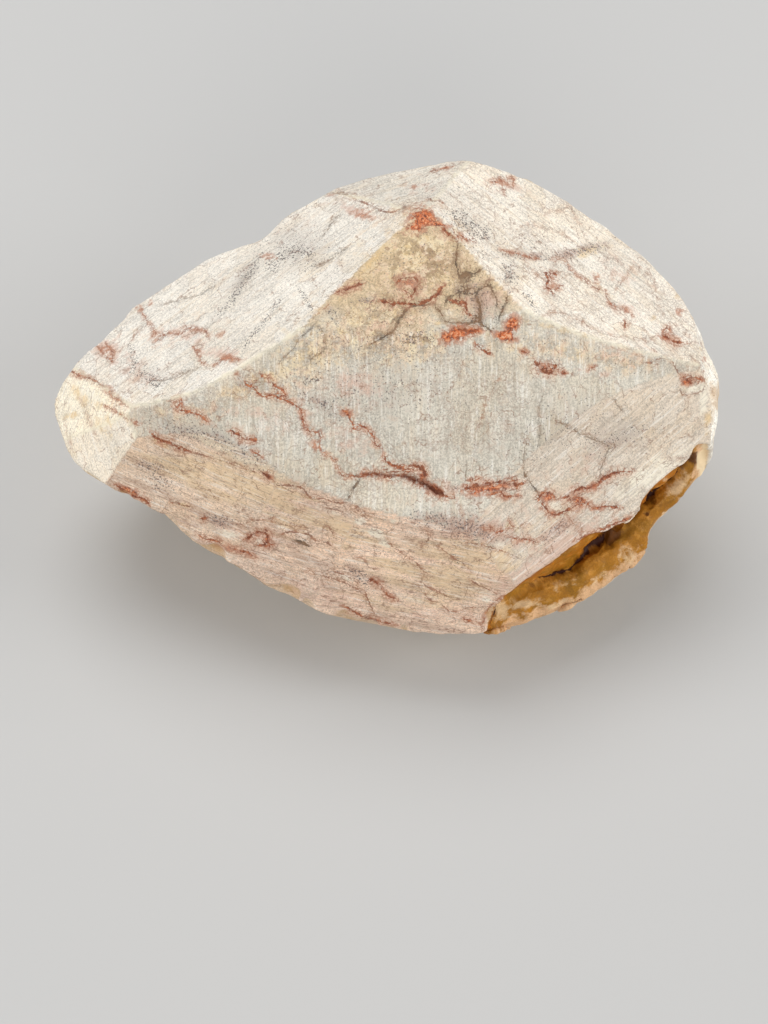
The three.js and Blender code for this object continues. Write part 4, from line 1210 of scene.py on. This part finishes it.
def add_rind(t, colour):
    """Natural rind on the sides and the back: stained hollows and a few broad red veins."""
    hidden = t.ramp(t.visible, 0.3, 0.0)
    cloud = t.noise(t.mm, 0.09, 6, 0.68, 60)
    colour = t.blend(t.times(t.ramp(cloud, 0.48, 0.62), t.rind, 0.6), colour, (190, 148, 94))
    colour = t.blend(t.times(t.ramp(cloud, 0.44, 0.34), t.rind, 0.5), colour, (172, 160, 148))
    contour = t.noise(t.bend(t.bend(t.mm, 0.12, 7.0, 62), 0.9, 1.0, 63), 0.034, 2, 0.5, 61)
    away = t.math("ABSOLUTE", t.plus(contour, -0.5))
    flush = t.times(t.ramp(away, 0.03, 0.0), t.ramp(t.middle, 0.42, 0.6), hidden, 0.6)
    colour = t.blend(flush, colour, (196, 140, 104))
    half = t.ramp(t.noise(t.mm, 0.22, 4, 0.65, 64), 0.4, 0.62, 0.0015, 0.012)
    seam = t.times(t.ramp(away, half, t.times(half, 0.4)), t.ramp(t.middle, 0.34, 0.46), hidden)
    seam_tone = t.ramp(t.noise(t.mm, 1.2, 3, 0.6, 65), 0.42, 0.56)
    seam_colour = t.blend(seam_tone, (120, 60, 36), (176, 104, 62))
    return t.blend(t.times(seam, 0.85), colour, seam_colour)


def add_crevice(t, colour):
    """Honey calcite that lines the crevice: an amber wall, a crack, and an olive bed with milky
    crystals that rises to a paler lip. Painted shade darkens the hollows and the crack."""
    out, lip, crack = t.parts(t.attribute("course"))
    milky, hollow, rim = t.parts(t.attribute("pockets"))
    waver = t.plus(t.noise(t.mm, 0.5, 5, 0.66, 70), -0.5)
    facets, tone, _ = t.parts(t.cells(t.bend(t.mm, 0.7, 1.0, 71), 0.5, "Color", "F1"))
    body = t.blend(t.ramp(t.plus(crack, t.times(waver, 2.4)), -0.5, 0.7), WALL, BED)
    body = t.blend(t.ramp(t.noise(t.mm, 0.16, 3, 0.55, 72), 0.42, 0.6, 0.0, 0.7), body, OLIVE)
    body = t.blend(t.ramp(t.middle, 0.5, 0.68, 0.0, 0.5), body, PALE_BED)
    body = t.blend(t.ramp(t.plus(lip, t.times(waver, 8.0)), -2.5, -0.7), body, LIP)
    milky = t.plus(milky, t.times(waver, 1.6), t.times(facets, 0.3))
    body = t.blend(t.ramp(milky, 0.45, 1.0, 0.0, 0.8), body, MILK)
    # Painted shade in the hollows.
    body = t.blend(t.ramp(t.plus(hollow, t.times(waver, 1.2)), 0.4, 0.75, 0.0, 0.92), body, HOLLOW_SHADE)
    body = t.scale(body, t.plus(t.times(tone, 0.2), t.ramp(t.fine, 0.36, 0.64, -0.1, 0.1), 0.9))
    body = t.blend(t.ramp(t.plus(rim, t.times(waver, 0.9)), 0.4, 0.7, 0.0, 0.9), body, CREAM_EDGE)
    line = t.math("ABSOLUTE", t.plus(crack, t.times(waver, 1.1)))
    half = t.ramp(t.noise(t.mm, 0.3, 2, 0.5, 73), 0.4, 0.62, 0.07, 0.25)
    # Painted shade along the crack, darkest in its middle.
    body = t.blend(t.ramp(line, t.times(half, 2.6), half, 0.0, 0.5), body, HOLLOW_SHADE)
    body = t.blend(t.ramp(line, t.times(half, 1.2), t.times(half, 0.5)), body, CRACK_SHADE)
    brink = t.times(t.ramp(t.plus(out, t.times(waver, 1.4)), 0.9, 0.1), 0.5)
    body = t.blend(brink, body, BRINK)
    return t.blend(t.crevice, colour, body)


def add_ridges(t, colour):
    """Light shows through the thin stone along the ridges."""
    glow = t.times(t.ramp(t.ridge, 1.0, 0.0), t.ramp(t.middle, 0.35, 0.65, 0.1, 0.8), t.ground)
    return t.blend(glow, colour, (247, 238, 212))


def surface(t):
    """Roughness and fine relief."""
    rough = t.plus(t.ramp(t.fine, 0.3, 0.7, 0.6, 0.76), t.times(t.patch, -0.12))
    t.feed(t.shader.inputs["Roughness"], t.plus(rough, t.times(t.crevice, -0.16)))
    t.feed(t.shader.inputs["Specular IOR Level"], t.ramp(t.crevice, 0, 1, 0.45, 0.18))
    grit = t.noise(t.mm, 1.1, 5, 0.7, 80)
    height = t.plus(t.times(t.scratch, t.ground, 0.6), t.times(t.fine, 0.35))
    height = t.plus(height, t.times(grit, t.math("SUBTRACT", 1.4, t.most(t.ground, t.crevice))))
    groove = t.most(t.times(t.red, 0.5), t.times(t.dark, 0.9))
    bump = t.new("ShaderNodeBump")
    bump.inputs["Strength"].default_value = 0.8
    bump.inputs["Distance"].default_value = 0.00016
    t.feed(bump.inputs["Height"], t.math("SUBTRACT", height, groove))
    t.feed(t.shader.inputs["Normal"], bump.outputs[0])


def stone_material():
    material = bpy.data.materials.new("ribbon_calcite")
    t = Tree(material)
    share_sources(t)
    colour = plain_stone(t)
    for layer in (add_areas, add_scratches, add_specks, add_hairlines, add_veins, add_rind,
                  add_crevice, add_ridges):
        colour = layer(t, colour)
    t.feed(t.shader.inputs["Base Color"], colour)
    surface(t)
    return material


# ---------------------------------------------------------------- the picture
# Each light: the way to it in the face frame, then distance and size in metres, watts and colour.
LIGHTS = {
    "top": ((-0.15, 0.85, 0.55), 2.2, 1.7, 25, (1, 1, 1)),
    "left": ((-0.9, 0.15, 0.35), 2.2, 1.2, 17, (1, 1, 1)),
    "right": ((0.9, 0.1, 0.3), 2.2, 1.2, 23, (1, 1, 1)),
    "front": ((0.1, -0.8, 1.0), 2.7, 2.0, 25, (1.0, 0.96, 0.9)),
}
LIGHT_AIM = (0, 0, 5)
FLOOR_REACH = 12.0
FLOOR_SHADE = (198, 197, 195)
FLOOR_ROUGHNESS = 0.9
SKY_COLOUR = (0.93, 0.96, 1.0, 1.0)
SKY_STRENGTH = 0.35


def add_camera():
    """The photographer's camera, square to the main face."""
    data = bpy.data.cameras.new("camera")
    data.sensor_fit = "VERTICAL"
    data.sensor_height = 24
    data.lens = CAMERA_AWAY * data.sensor_height / (PICTURE_HEIGHT * PIXEL_MM)
    camera = bpy.data.objects.new("camera", data)
    place = to_row((*CAMERA_AXIS, CAMERA_AWAY))
    camera.matrix_world = Matrix.Translation(place) @ FACE_TO_ROW.to_4x4()
    bpy.context.scene.collection.objects.link(camera)
    bpy.context.scene.camera = camera


def add_light(name, way, distance, size, power, colour):
    """An area light that looks at the stone, from a direction in the face frame."""
    data = bpy.data.lights.new(name, "AREA")
    data.shape = "DISK"
    data.size = size
    data.energy = power
    data.color = colour
    light = bpy.data.objects.new(name, data)
    aim = to_row(LIGHT_AIM)
    place = aim + (FACE_TO_ROW @ Vector(way).normalized()) * distance
    light.location = place
    light.rotation_euler = (place - aim).to_track_quat("Z", "Y").to_euler()
    bpy.context.scene.collection.objects.link(light)


def add_floor():
    """The plain surface that the stone stands on."""
    mesh = bpy.data.meshes.new("floor")
    reach = FLOOR_REACH
    corners = [(-reach, -reach, 0), (reach, -reach, 0), (reach, reach, 0), (-reach, reach, 0)]
    mesh.from_pydata([Vector(c) for c in corners], [], [(0, 1, 2, 3)])
    floor = bpy.data.objects.new("floor", mesh)
    bpy.context.scene.collection.objects.link(floor)
    material = bpy.data.materials.new("floor")
    t = Tree(material)
    t.shader.inputs["Base Color"].default_value = shade(FLOOR_SHADE)
    t.shader.inputs["Roughness"].default_value = FLOOR_ROUGHNESS
    mesh.materials.append(material)


def add_world():
    """Soft even light from all sides."""
    world = bpy.data.worlds.new("studio")
    world.use_nodes = True
    background = world.node_tree.nodes["Background"]
    background.inputs["Color"].default_value = SKY_COLOUR
    background.inputs["Strength"].default_value = SKY_STRENGTH
    bpy.context.scene.world = world
    bpy.context.scene.view_settings.view_transform = "Standard"


def main():
    noise.seed_set(NOISE_SEED)
    tree = solid_tree()
    mesh = dense_mesh(tree)
    dress(mesh, spread(mesh, tree))
    for polygon in mesh.polygons:
        polygon.use_smooth = True
    stone = bpy.data.objects.new("calcite_stone", mesh)
    bpy.context.scene.collection.objects.link(stone)
    mesh.materials.append(stone_material())
    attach(stone, "root")
    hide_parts(NODE)
    add_floor()
    add_camera()
    for name, settings in LIGHTS.items():
        add_light(name, *settings)
    add_world()


main()
